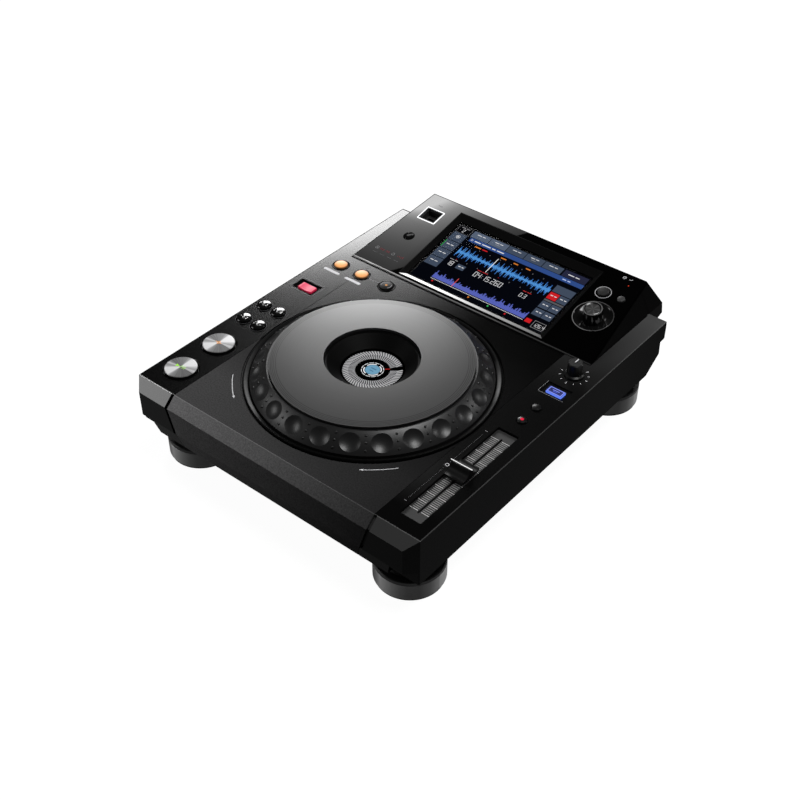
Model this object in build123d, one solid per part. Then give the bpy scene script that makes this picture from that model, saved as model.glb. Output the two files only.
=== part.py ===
from build123d import *
import math
import os

# Desktop media player with a jog wheel, a tempo fader and a tilted touch screen.
# Sizes are in millimetres. While a piece is made, x runs from the player's middle to its
# right, y from the front edge of the deck to the back, and z up from the deck's top face.
# The finished pieces are then moved so that the origin is under the middle of the player.

# Jog wheel
wheel_radius = 103.5
wheel_gap = 1.1
bezel_width = 4.6
bezel_inner_radius = wheel_radius + wheel_gap
bezel_outer_radius = bezel_inner_radius + bezel_width
bezel_top = 1.0
bezel_seat = 3.2
bezel_gap = 0.2
pit_margin = 1.8
pit_radius = bezel_outer_radius + pit_margin
pit_depth = 14.0
pit_wall = 2.4
pit_ledge = 12.0
pit_floor_thickness = 2.5
pit_flange = 3.6
pit_flange_thickness = 1.5
jog_front_margin = 14.0
jog_y = pit_radius + jog_front_margin
wheel_skirt = 6.0
wheel_edge_height = 1.0
wheel_slope_run = 14.9
wheel_slope_rise = 13.2
wheel_slope_bulge = 0.9
wheel_crest_radius = wheel_radius - wheel_slope_run
wheel_crest_height = wheel_edge_height + wheel_slope_rise
wheel_wall = 2.8
wheel_lip = 1.4
wheel_lip_height = 1.0
wheel_lip_radius = wheel_crest_radius - wheel_lip
wheel_shelf_height = wheel_crest_height - wheel_lip_height
dent_count = 24
dent_inset = 7.3
dent_radius_on_wheel = wheel_radius - dent_inset
dent_width = 17.0
dent_depth = 1.9
display_radius = 27.3
display_gap = 0.3
display_thickness = 1.6
display_glass = 1.2
hub_shoulder = 10.1
hub_radius = display_radius + hub_shoulder
hub_running_gap = 0.1
hub_wall = 4.0
hub_top = 3.5
hub_collar_top = 7.4
hub_foot_gap = 1.4
display_top = hub_top + display_thickness + display_glass
surround_flare = 2.5
surround_rim_radius = hub_radius + surround_flare
surround_rim_wall = 1.5
platter_hole_gap = 0.9
platter_hole_radius = surround_rim_radius + platter_hole_gap
platter_gap = 0.6
platter_radius = wheel_lip_radius - platter_gap
platter_edge_rise = 2.3
platter_edge_top = wheel_crest_height + platter_edge_rise
platter_crown_rise = 2.5
platter_crown_top = platter_edge_top + platter_crown_rise
platter_crown_bulge = 0.35
platter_press = 0.5
platter_float = 0.9
surround_sink = 3.5
surround_rim_top = platter_crown_top - surround_sink
platter_pin_count = 6
platter_pin_inset = 19.2
platter_pin_circle = platter_hole_radius + platter_pin_inset
platter_pin_radius = 1.6
platter_pin_head = 3.0
encoder_pin_gap = 11.0
encoder_radius = platter_pin_circle + encoder_pin_gap
encoder_wall = 1.2
encoder_foot_gap = 4.0
encoder_slot_height = 4.0
encoder_slots = 36
sensor_gap = 1.2
sensor_arm = 3.0
sensor_width = 8.0

# Tempo fader
fader_front = 13.7
fader_travel = 50.0
fader_stem_length = 5.6
fader_end_gap = 0.7
fader_scale_margin = 8.8
fader_slot_length = 2 * (fader_travel + fader_end_gap) + fader_stem_length
fader_pocket_width = 20.2
fader_pocket_length = fader_slot_length + 2 * fader_scale_margin
fader_middle_y = fader_front + fader_pocket_length / 2
fader_plate_gap = 0.6
fader_plate_sink = 2.0
fader_plate_thickness = 1.2
fader_slot_width = 1.8
fader_stem_thickness = 1.0
fader_cap_width = 17.8
fader_cap_length = 21.6
fader_cap_height = 9.2
fader_cap_lift = 0.4
fader_cap_ridge = 3.2
fader_cap_toe = 2.2
fader_cap_play = 0.2
fader_ledge = 2.0
fader_body_width = 17.0
fader_body_depth = 8.5
fader_channel_width = 5.4
fader_carriage_width = 4.8
fader_carriage_gap = 1.0

# Buttons and the knob behind the fader
small_key_radius = 4.1
small_key_rise = 1.2
small_key_pitch = 20.6
small_key_front_gap = 18.1
master_tempo_y = fader_middle_y + fader_pocket_length / 2 + small_key_front_gap
tempo_range_y = master_tempo_y + small_key_pitch
jog_mode_recess_width = 23.8
jog_mode_recess_length = 15.4
jog_mode_recess_depth = 1.4
jog_mode_front_gap = 20.4
jog_mode_recess_front = tempo_range_y + jog_mode_front_gap
jog_mode_width = 15.2
jog_mode_height = 8.2
jog_mode_rise = 0.9
jog_mode_front_edge = 6.4
jog_mode_y = jog_mode_recess_front + jog_mode_front_edge
jog_mode_recess_rear = jog_mode_recess_front + jog_mode_recess_length
speed_front_gap = 19.6
speed_radius = 6.9
speed_height = 14.0
speed_skirt = 1.6
speed_foot = 0.5
speed_flutes = 16

# Screen unit, a wedge whose top is tilted towards the user. Its long sizes run up the panel.
frame_width = 163.0
frame_height = 98.8
frame_x = 0.6
frame_front = 3.4
frame_rear_margin = 9.27
frame_gap = 0.15
frame_hole_gap = 0.25
frame_rim = 0.5
panel_tilt = 11.86
panel_length = frame_front + frame_height + frame_rear_margin
panel_thickness = 2.0
screen_run = panel_length * math.cos(math.radians(panel_tilt))
screen_rise = panel_length * math.sin(math.radians(panel_tilt))
screen_jog_gap = 16.65
knob_row_gap = 20.25
behind_wheel_y = jog_y + pit_radius + screen_jog_gap
behind_keys_y = jog_mode_recess_rear + speed_front_gap + knob_row_gap
screen_front_y = max(behind_wheel_y, behind_keys_y)
screen_rear_y = screen_front_y + screen_run
screen_side_slope = 0.56
screen_sink = 2.6
screen_front_lip = 0.4
screen_wall = 2.6
screen_skirt_drop = 14.8
screen_skirt_tip_drop = 12.4
screen_opening_gap = 0.5
screen_seat_thickness = 2.8
screen_window_half_width = 85.0
screen_window_front = 4.0
screen_window_rear = 8.0
window_left = 6.0
window_right = 5.0
window_front = 5.3
window_rear = 9.2
window_depth = 2.6
glass_thickness = 1.0
glass_gap = 0.1
lcd_thickness = 5.0
lcd_margin = 2.0

# Controls on the screen unit, placed along the tilted panel
dish_radius = 18.6
dish_depth = 3.4
dish_floor = 1.4
dish_frame_gap = 3.8
dish_edge_gap = 11.2
selector_v = 50.0
selector_radius = 8.9
selector_top = 9.7
selector_flutes = 10
selector_travel = 0.7
shaft_radius = 3.0
shaft_running_gap = 0.05
shaft_length = 13.6
back_inset = 8.5
back_pitch = 29.7
back_v = selector_v + back_pitch
back_radius = 5.4
tag_inset = 9.9
tag_pitch = 30.1
tag_v = selector_v + tag_pitch
tag_radius = 3.6
usb_edge_gap = 30.2
usb_rear_gap = 27.9
usb_v = panel_length - usb_rear_gap
usb_width = 21.0
usb_height = 18.6
usb_frame_wall = 1.7
usb_fit_gap = 0.3
usb_well_depth = 6.0
usb_well_wall = 1.0
usb_port_width = 12.3
usb_port_height = 4.8
usb_port_depth = 9.0
usb_port_wall = 1.5
usb_tongue_thickness = 1.8
usb_stop_pitch = 34.6
usb_stop_v = usb_v - usb_stop_pitch
usb_stop_radius = 5.2

# Buttons beside the jog wheel, and the widths that follow from them
search_radius = 6.6
search_rise = 1.9
search_pit_gap = 12.4
search_pitch = 17.5
search_edge_gap = 11.6
search_column_right = -pit_radius - search_pit_gap
search_column_left = search_column_right - search_pitch
screen_side_gap = 18.2
screen_right_side = dish_frame_gap + 2 * dish_radius + dish_edge_gap
wheel_half_width = search_edge_gap - search_column_left
screen_half_width = frame_x + frame_width / 2 + screen_right_side + screen_side_gap
body_width = 2 * max(wheel_half_width, screen_half_width)
screen_base_half_width = body_width / 2 - screen_side_gap
selector_x = screen_base_half_width - dish_edge_gap - dish_radius
back_x = selector_x - back_inset
tag_x = selector_x + tag_inset
usb_x = usb_edge_gap - screen_base_half_width
usb_stop_x = usb_x
right_column_inset = 21.0
right_column_x = body_width / 2 - right_column_inset
jog_mode_shift = 0.7
jog_mode_x = right_column_x + jog_mode_shift
search_row_drop = 12.2
track_row_rise = 13.4
search_row_y = jog_y - search_row_drop
track_row_y = jog_y + track_row_rise
button_gap = 0.5
key_travel = 0.6
key_flange_gap = 0.1
key_flange = 1.4
key_flange_reach = 1.5
key_stem_radius = 1.5
key_stem_gap = 0.5
play_column_inset = 21.9
play_x = play_column_inset - body_width / 2
play_y = 27.8
cue_pitch = 44.2
cue_y = play_y + cue_pitch
play_radius = 14.2
play_rise = 1.9
play_travel = 0.8
play_flange_reach = 2.6
play_recess = 1.0
loop_column_inset = 21.1
loop_pitch = 25.9
reloop_pitch = 30.1
loop_row_y = screen_front_y - knob_row_gap
speed_y = loop_row_y
loop_in_x = loop_column_inset - body_width / 2
loop_out_x = loop_in_x + loop_pitch
reloop_x = loop_out_x + reloop_pitch
loop_radius = 6.6
loop_rise = 1.5
loop_crown = 0.35
loop_ring_radius = 8.7
loop_ring_wall = 1.5
loop_ring_rise = 0.6
lever_slot_inset = 8.2
lever_slot_length = 24.8
lever_slot_width = 15.4
lever_slot_left = lever_slot_inset - body_width / 2
lever_slot_right = lever_slot_left + lever_slot_length
lever_track_gap = 39.8
lever_slot_front = track_row_y + lever_track_gap
lever_slot_rear = lever_slot_front + lever_slot_width
lever_length = 16.4
lever_width = 9.2
lever_rise = 1.6
lever_travel = 4.5
lever_gap = 1.9
lever_front_gap = 0.9
lever_shoe_margin = 1.6
lever_wall_gap = 0.4
lever_saddle = 0.5

# Rear sockets
lip_height = 18.7
lip_lean = 4.0
lip_depth = 10.1
lip_underside_drop = 0.7
lip_gap = 0.4
inlet_margin = 7.1
inlet_x = 50.0
inlet_width = 27.4
inlet_height = 20.0
inlet_depth = 20.0
inlet_flange = 1.2
inlet_wall = 1.5
inlet_pin_x = 7.0
lan_x = -72.0
lan_width = 16.0
lan_height = 13.6
lan_depth = 18.0
host_x = -48.0
host_width = 12.2
host_height = 11.0
host_depth = 16.0
digital_x = -26.0
audio_left_x = -6.0
audio_right_x = 12.0
jack_radius = 4.15
jack_length = 9.0
jack_depth = 8.0
jack_bore = 1.7
jack_flange_radius = 6.2
jack_flange = 1.2
power_x = 88.0
power_width = 9.6
power_height = 12.0
power_travel = 1.6
power_proud = 1.4
power_depth = 6.0
lock_x = -92.0
lock_width = 6.5
lock_height = 2.5
socket_proud = 0.4
socket_gap = 0.25

# Cabinet
body_height = lip_height + lip_underside_drop + inlet_height + inlet_margin
wall = 2.8
edge_break = 0.5
screen_overhang = 12.14
deck_depth = screen_rear_y - screen_overhang
screen_skirt_level_reach = deck_depth + 23.4
screen_skirt_reach = deck_depth + 26.2
screen_skirt_foot_y = deck_depth + 19.1
front_chamfer_run = 9.6
front_chamfer_drop = 8.9
front_straight_end = body_height - 13.5
front_foot_run = 6.2
corner_bevel = 9.1
fascia_corner_inset = 22.0
fascia_half_width = body_width / 2 - fascia_corner_inset
fascia_lean = 3.8
fascia_foot_half_width = fascia_half_width - fascia_lean
fascia_foot_height = 13.0
fascia_notch_front = 1.0
rear_wall_foot = body_height - 13.9
rear_wall_lean = 1.0
underside_rear_gap = 24.6
underside_end = deck_depth - underside_rear_gap
rear_corner_radius = 4.0
seam_overlap = 2.2
seam_half_width = pit_radius - seam_overlap
seam_lean = 11.7
seam_foot_half_width = seam_half_width - seam_lean
seam_gap = 0.4
groove_width = 2.8
groove_depth = 1.8

# Base
sheet = 1.5
sheet_gap = 0.3
tray_flange = 12.0
rear_sheet = 1.8
vent_slot_length = 22.0
vent_slot_width = 3.0
vent_pitch = 9.0
vent_row_pitch = 30.8
vent_count = 9
vent_rear_gap = 63.0
vent_row_y = underside_end - vent_rear_gap
screw_head_radius = 3.4
screw_head_height = 1.4
screw_slot_length = 4.0
screw_slot_width = 0.9
screw_slot_depth = 0.7
screw_seam_gap = 15.0
screw_front_gap = 14.0
screw_rear_gap = 3.0
screw_x = seam_foot_half_width - screw_seam_gap
screw_rows_y = (screw_front_gap, jog_y, jog_y + pit_radius, underside_end + screw_rear_gap)

# Feet
foot_radius = 29.7
foot_side_gap = 4.8
foot_front_gap = 1.0
foot_rear_gap = 2.2
foot_x = body_width / 2 - foot_radius - foot_side_gap
foot_front_y = foot_radius + foot_front_gap
foot_rear_y = deck_depth - foot_radius - foot_rear_gap
foot_height = 37.1
deck_height = body_height + foot_height
foot_stem_radius = 22.0
foot_rim_height = 21.1
foot_band_height = 15.6
foot_band_wall = 2.7
foot_pad_height = 2.0
foot_pad_inset = 1.1
foot_pad_radius = foot_radius - foot_pad_inset
foot_edge = 0.7

# Boards and supports inside
board = 1.6
board_height = body_height - 8.5
panel_board_depth = 9.0
main_board_width = 180.0
main_board_length = 150.0
main_board_shift = 15.0
main_board_y = jog_y - main_board_shift
supply_x = inlet_x + 2.0
supply_rear_gap = 65.6
supply_y = deck_depth - supply_rear_gap
supply_width = 84.0
supply_length = 70.0
supply_board = 3.0
coil_width = 34.0
coil_length = 28.0
coil_height = 21.0
coil_x = -14.0
capacitor_radius = 5.0
capacitor_height = 18.0
capacitor_pitch = 14.0
sink_length = 60.0
sink_thickness = 3.0
sink_height = 18.0
sink_margin = 6.0
key_board_top = 12.0
key_board_inset = 3.3
key_gap = 1.0
boss_radius = 2.4
boss_inset = 5.5

socket_row_z = 0.2 - (lip_height + body_height) / 2
rear_wall_y = deck_depth + lip_lean - lip_depth
platter_foot = wheel_shelf_height + platter_press + platter_float
frame_shift = Pos(0, (front_chamfer_run - screen_skirt_reach) / 2, deck_height)
panel_plane = Plane(
    origin=(0, screen_front_y, screen_front_lip),
    x_dir=(1, 0, 0),
    z_dir=(0, -math.sin(math.radians(panel_tilt)), math.cos(math.radians(panel_tilt))),
)
on_panel = panel_plane.location
on_jog = Pos(0, jog_y, 0)
pieces = {}


def keep(name, shape):
    """Moves a finished piece to its place over the table and keeps it under its name."""
    pieces[name] = frame_shift * shape


def upright_plate(width, length, low, high, radius=0.0):
    """A flat plate between two heights, with round corners if a radius is given."""
    outline = RectangleRounded(width, length, radius) if radius else Rectangle(width, length)
    return Pos(0, 0, low) * extrude(outline, high - low)


def disc(radius, low, high, hole=0.0):
    """A disc or a ring between two heights."""
    outline = Circle(radius) - Circle(hole) if hole else Circle(radius)
    return Pos(0, 0, low) * extrude(outline, high - low)


def turned(*lines):
    """A solid turned about the z axis from a closed profile of radius and height."""
    return revolve(Plane.XZ * make_face(lines), Axis.Z)


def turned_points(points):
    """A solid turned about the z axis from the corners of its profile."""
    return turned(Polyline(*points, close=True))


def side_profile():
    """The cabinet seen from its side, as y and z."""
    return [
        (0, 0),
        (deck_depth, 0),
        (deck_depth + lip_lean, -lip_height),
        (rear_wall_y, -lip_height - lip_underside_drop),
        (rear_wall_y + rear_wall_lean, -rear_wall_foot),
        (underside_end, -body_height),
        (-front_foot_run, -body_height),
        (-front_chamfer_run, -front_straight_end),
        (-front_chamfer_run, -front_chamfer_drop),
    ]


def plan_outline(inset):
    """The cabinet seen from above, with its two front corners bevelled."""
    half = body_width / 2
    rear = deck_depth + lip_lean
    outline = Polygon(
        (-half, 0),
        (-half + corner_bevel, -front_chamfer_run),
        (half - corner_bevel, -front_chamfer_run),
        (half, 0),
        (half, rear),
        (-half, rear),
        align=None,
    )
    rear_corners = outline.vertices().sort_by(Axis.Y)[-2:]
    outline = fillet(rear_corners, rear_corner_radius)
    return offset(outline, amount=-inset, kind=Kind.INTERSECTION) if inset else outline


def fascia_corner_cut(inset):
    """The two blocks that cut the front corners away under the fascia."""
    top = fascia_foot_height - body_height
    outer = body_width
    profile = Polygon(
        (fascia_half_width, top),
        (fascia_foot_half_width, -body_height),
        (fascia_foot_half_width, -2 * body_height),
        (outer, -2 * body_height),
        (outer, top),
        align=None,
    )
    if inset:
        profile = offset(profile, amount=inset, kind=Kind.INTERSECTION)
    rear = inset - fascia_notch_front
    right = extrude(Plane.XZ * profile, outer, dir=(0, -1, 0))
    right = Pos(0, rear, 0) * right
    return right + mirror(right, Plane.YZ)


def cabinet_block(inset):
    """The closed outer form of the cabinet, or the same form drawn in by a wall."""
    side = Polygon(*side_profile(), align=None)
    if inset:
        side = offset(side, amount=-inset, kind=Kind.INTERSECTION)
    length = extrude(Plane.YZ * side, body_width / 2 - inset, both=True)
    column = Pos(0, 0, -body_height - wall) * extrude(plan_outline(inset), body_height + 2 * wall)
    return (length & column) - fascia_corner_cut(inset)


def base_outline(inset):
    """The outline of the open underside, drawn in from the cabinet's outer faces."""
    half = body_width / 2 - inset
    front = -front_foot_run + inset
    rear = underside_end - inset
    outline = Pos(0, (front + rear) / 2) * Rectangle(2 * half, rear - front)
    notch_inner = fascia_foot_half_width - inset
    notch_rear = inset - fascia_notch_front
    notch = Rectangle(body_width, body_width, align=(Align.MIN, Align.MAX))
    outline -= Pos(notch_inner, notch_rear) * notch
    outline -= Pos(-notch_inner - body_width, notch_rear) * notch
    return outline


def seam_wedge(grow):
    """The middle of the cabinet between the two seams, wider at the deck than below."""
    top = seam_half_width + grow
    foot = seam_foot_half_width + grow
    outline = Polygon(
        (-top, wall),
        (-top, -front_chamfer_drop),
        (-foot, -body_height),
        (-foot, -2 * body_height),
        (foot, -2 * body_height),
        (foot, -body_height),
        (top, -front_chamfer_drop),
        (top, wall),
        align=None,
    )
    return extrude(Plane.XZ * outline, 2 * deck_depth, both=True)


def deck_hole(x, y, radius):
    """A round hole through the deck."""
    return Pos(x, y, 0) * disc(radius, -2 * wall, wall)


def screen_seat():
    """The sunk seat under the screen unit, with the recess and the window cut in it."""
    half = screen_base_half_width + screen_opening_gap
    front = screen_front_y - screen_opening_gap
    rear = deck_depth - wall
    seat_foot = -screen_sink - screen_seat_thickness
    block = upright_plate(2 * (half + wall), rear - front + 2 * wall, seat_foot, 0)
    recess = upright_plate(2 * half, rear - front, -screen_sink, 2 * wall)
    window_length = rear - front - screen_window_front - screen_window_rear
    window = upright_plate(2 * screen_window_half_width, window_length, 2 * seat_foot, 2 * wall)
    window = Pos(0, (screen_window_front - screen_window_rear) / 2, 0) * window
    place = Pos(0, (front + rear) / 2, 0)
    return place * block, place * (recess + window)


def pit_ring():
    """The wall round the jog wheel, with the ledges for the bezel and the floor."""
    outer = pit_radius - button_gap / 2
    bezel_seat_inner = bezel_inner_radius + button_gap
    wall_inner = outer - pit_wall
    flange_foot = -wall - pit_flange_thickness
    return on_jog * turned_points([
        (pit_radius - pit_ledge, -pit_depth),
        (outer, -pit_depth),
        (outer, flange_foot),
        (pit_radius + pit_flange, flange_foot),
        (pit_radius + pit_flange, -wall),
        (outer, -wall),
        (outer, -bezel_seat / 2),
        (bezel_outer_radius + bezel_gap, -bezel_seat / 2),
        (bezel_outer_radius + bezel_gap, -bezel_seat),
        (bezel_seat_inner, -bezel_seat),
        (bezel_seat_inner, -bezel_seat - pit_wall),
        (wall_inner, -bezel_seat - pit_wall),
        (wall_inner, -pit_depth + pit_wall),
        (pit_radius - pit_ledge, -pit_depth + pit_wall),
    ])


def deck_openings():
    """Everything that is cut through the deck."""
    cuts = on_jog * disc(pit_radius, -2 * wall, wall)
    hole = play_radius + 2 * button_gap
    sink = turned_points([(0, -play_recess), (hole, -play_recess), (hole + play_recess, 0), (0, 0)])
    for y in (play_y, cue_y):
        cuts += deck_hole(play_x, y, hole) + Pos(play_x, y, 0) * sink
    for x in (loop_in_x, loop_out_x, reloop_x):
        cuts += deck_hole(x, loop_row_y, loop_ring_radius - loop_ring_wall / 2)
    for x in (search_column_left, search_column_right):
        for y in (track_row_y, search_row_y):
            cuts += deck_hole(x, y, search_radius + button_gap)
    for y in (master_tempo_y, tempo_range_y):
        cuts += deck_hole(right_column_x, y, small_key_radius + button_gap)
    cuts += deck_hole(right_column_x, speed_y, shaft_radius + button_gap)
    slot = upright_plate(lever_slot_length, lever_slot_width, -2 * wall, wall, 1.5)
    slot_x = lever_slot_left + lever_slot_length / 2
    slot_y = lever_slot_front + lever_slot_width / 2
    cuts += Pos(slot_x, slot_y, 0) * slot
    recess = upright_plate(
        jog_mode_recess_width, jog_mode_recess_length, -jog_mode_recess_depth, wall, 1.0
    )
    recess_y = jog_mode_recess_front + jog_mode_recess_length / 2
    cuts += Pos(right_column_x, recess_y, 0) * recess
    key_width = jog_mode_width + 2 * button_gap
    key_length = jog_mode_height + 2 * button_gap
    key_hole = upright_plate(key_width, key_length, -2 * wall, wall, 1.0)
    cuts += Pos(jog_mode_x, jog_mode_y, 0) * key_hole
    pocket = upright_plate(fader_pocket_width, fader_pocket_length, -2 * wall, wall, 1.0)
    cuts += Pos(right_column_x, fader_middle_y, 0) * pocket
    return cuts


def cabinet_shell():
    """The three covers as one hollow form, before the seams part them."""
    block = cabinet_block(0)
    long_edges = block.edges().filter_by(Axis.Y).sort_by(Axis.Z)[-2:]
    block = chamfer(long_edges, edge_break)
    hollow = cabinet_block(wall)
    throat_height = 2 * wall + sheet
    throat = Pos(0, 0, -body_height - wall) * extrude(base_outline(wall), throat_height)
    seat, seat_cut = screen_seat()
    return block - hollow - throat + seat - seat_cut - deck_openings()


def bosses(places, foot):
    """Round bosses under the deck that carry a board."""
    return [Pos(x, y, 0) * disc(boss_radius, -foot, -wall) for x, y in places]


edge_boss_x = body_width / 2 - boss_inset
left_boss_places = [
    (-edge_boss_x, (play_y + cue_y) / 2),
    (play_x + 13.6, (play_y + cue_y) / 2),
    (-edge_boss_x, search_row_y - 16.8),
    (-edge_boss_x, track_row_y + 21.6),
    (search_column_right + 4.4, track_row_y + 21.6),
    (-edge_boss_x, loop_row_y - 14.4),
    ((loop_in_x + loop_out_x) / 2, loop_row_y + 6.6),
]
right_boss_places = [
    (right_column_x - 9.5, master_tempo_y - 10.4),
    (right_column_x + 12.5, master_tempo_y - 10.4),
    (right_column_x - 9.5, tempo_range_y + 13.0),
    (right_column_x + 14.5, tempo_range_y + 13.0),
    (right_column_x - 9.5, speed_y + 10.6),
]


def make_covers():
    """The middle cover and the two side covers, parted along the seams."""
    shell = cabinet_shell()
    centre = shell & seam_wedge(-seam_gap / 2)
    rear_open_front = underside_end - 2 * tray_flange
    lip_foot = -lip_height - lip_underside_drop
    rear_open = Pos(0, (rear_open_front + deck_depth + lip_depth) / 2, lip_foot - body_height)
    rear_open *= Box(body_width, deck_depth + lip_depth - rear_open_front, 2 * body_height)
    centre -= rear_open
    centre += pit_ring()
    keep("centre_cover", centre)
    rim = cabinet_block(0) - cabinet_block(groove_depth)
    front_faces = Pos(0, 0, -front_straight_end)
    front_faces *= Box(
        body_width, 4 * front_chamfer_run, 2 * body_height, align=(Align.CENTER, Align.MAX, Align.MIN)
    )
    groove = rim & seam_wedge(groove_width) & front_faces
    sides = shell - seam_wedge(seam_gap / 2) - groove
    half_space = Box(body_width, 4 * deck_depth, 4 * body_height)
    left = sides & Pos(-body_width / 2, 0, 0) * half_space
    right = sides & Pos(body_width / 2, 0, 0) * half_space
    left += bosses(left_boss_places, key_board_top)
    right += bosses(right_boss_places, key_board_top)
    keep("left_cover", left)
    keep("right_cover", right)


def make_base():
    """The sheet-metal tray under the covers, its rear panel and its screws."""
    inset = wall + sheet_gap
    rear_half = seam_foot_half_width - seam_gap - sheet_gap
    tail_front = underside_end - 2 * tray_flange
    tail = Pos(0, (tail_front + rear_wall_y) / 2) * Rectangle(2 * rear_half, rear_wall_y - tail_front)
    outline = base_outline(inset) + tail
    floor = Pos(0, 0, -body_height) * extrude(outline, sheet)
    ring = outline - offset(outline, amount=-sheet, kind=Kind.INTERSECTION)
    flange = Pos(0, 0, -body_height) * extrude(ring, tray_flange)
    rear_clear = Pos(0, rear_wall_y, -body_height + sheet + tray_flange)
    rear_clear *= Box(body_width, 4 * rear_sheet, 2 * tray_flange)
    tray = floor + (flange - rear_clear)
    for row in range(2):
        for step in range(vent_count):
            x = (step - (vent_count - 1) / 2) * vent_pitch
            slot = SlotOverall(vent_slot_length, vent_slot_width, rotation=90)
            slot_y = vent_row_y - row * vent_row_pitch
            tray -= Pos(x, slot_y, -body_height - sheet) * extrude(slot, 3 * sheet)
    post_height = body_height - sheet - board_height - board
    for x in (-1, 1):
        for y in (-1, 1):
            post_x = x * (main_board_width / 2 - 2 * boss_radius)
            post_y = main_board_y + y * (main_board_length / 2 - 2 * boss_radius)
            post = disc(boss_radius, 0, post_height)
            tray += Pos(post_x, post_y, -body_height + sheet) * post
    keep("bottom_chassis", tray)
    heads = []
    for y in screw_rows_y:
        for side in (-1, 1):
            head = disc(screw_head_radius, -screw_head_height, 0)
            slot = extrude(Rectangle(screw_slot_length, screw_slot_width), screw_slot_depth)
            for turn in (0, 90):
                head -= Pos(0, 0, -screw_head_height) * Rot(0, 0, turn) * slot
            heads.append(Pos(side * screw_x, y, -body_height) * head)
    keep("cover_screws", Part() + heads)
    band_top = -lip_height - lip_underside_drop - sheet_gap / 3
    band_foot = -body_height + sheet
    band = Pos(0, 0, (band_top + band_foot) / 2) * Box(body_width, rear_sheet, band_top - band_foot)
    panel = Pos(0, rear_wall_y - rear_sheet / 2, 0) * band
    panel &= seam_wedge(-seam_gap - sheet_gap)
    cut_depth = 4 * rear_sheet
    cut_outlines = [
        (inlet_x, inlet_width, inlet_height),
        (lan_x, lan_width, lan_height),
        (host_x, host_width, host_height),
        (power_x, power_width + button_gap, power_height + button_gap),
        (lock_x, lock_width, lock_height),
    ]
    for x, width, height in cut_outlines:
        cut = Box(width + 2 * socket_gap, cut_depth, height + 2 * socket_gap)
        panel -= Pos(x, rear_wall_y, socket_row_z) * cut
    for x in (digital_x, audio_left_x, audio_right_x):
        hole = Cylinder(jack_radius + 2 * socket_gap, cut_depth, rotation=(90, 0, 0))
        panel -= Pos(x, rear_wall_y, socket_row_z) * hole
    keep("rear_panel", panel)


def make_feet():
    """Four feet, each a cup on a stem with a band around it and a pad under it."""
    top = -body_height
    rim = -deck_height + foot_rim_height
    band_top = -deck_height + foot_pad_height + foot_band_height
    band_foot = -deck_height + foot_pad_height
    core = foot_radius - foot_band_wall
    cup = turned_points([
        (0, top),
        (foot_stem_radius, top),
        (foot_stem_radius, rim + 2 * foot_edge),
        (foot_stem_radius + 2 * foot_edge, rim),
        (foot_radius - foot_edge, rim),
        (foot_radius, rim - foot_edge),
        (foot_radius, band_top),
        (core, band_top),
        (core, band_foot),
        (0, band_foot),
    ])
    band = turned_points([
        (core, band_foot),
        (foot_radius - foot_edge / 2, band_foot),
        (foot_radius, band_foot + foot_edge),
        (foot_radius, band_top - foot_edge / 2),
        (foot_radius - foot_edge / 2, band_top),
        (core, band_top),
    ])
    pad = disc(foot_pad_radius, -deck_height, band_foot)
    places = [
        Pos(side * foot_x, y, 0)
        for y in (foot_front_y, foot_rear_y)
        for side in (-1, 1)
    ]
    cups = [place * cup for place in places]
    inner_edge = seam_half_width + wall - foot_x
    heel = disc(foot_stem_radius, top, -rear_wall_foot)
    heel -= Pos(inner_edge - deck_depth, 0, 0) * Box(2 * deck_depth, 2 * deck_depth, 4 * body_height)
    closed = cabinet_block(0)
    right_heel = Pos(foot_x, foot_rear_y, 0) * heel - closed
    left_heel = mirror(right_heel, Plane.YZ)
    cups = [cups[0], cups[1], cups[2] + left_heel, cups[3] + right_heel]
    keep("foot_cups", Part() + cups)
    keep("foot_bands", Part() + [place * band for place in places])
    keep("foot_pads", Part() + [place * pad for place in places])


def wheel_slope_middle():
    """The middle of the dented slope, as radius and height, pushed out by its bulge."""
    run = wheel_radius - wheel_crest_radius
    rise = wheel_crest_height - wheel_edge_height
    length = math.hypot(run, rise)
    radius = (wheel_radius + wheel_crest_radius) / 2 + wheel_slope_bulge * rise / length
    height = (wheel_edge_height + wheel_crest_height) / 2 + wheel_slope_bulge * run / length
    return radius, height


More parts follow.
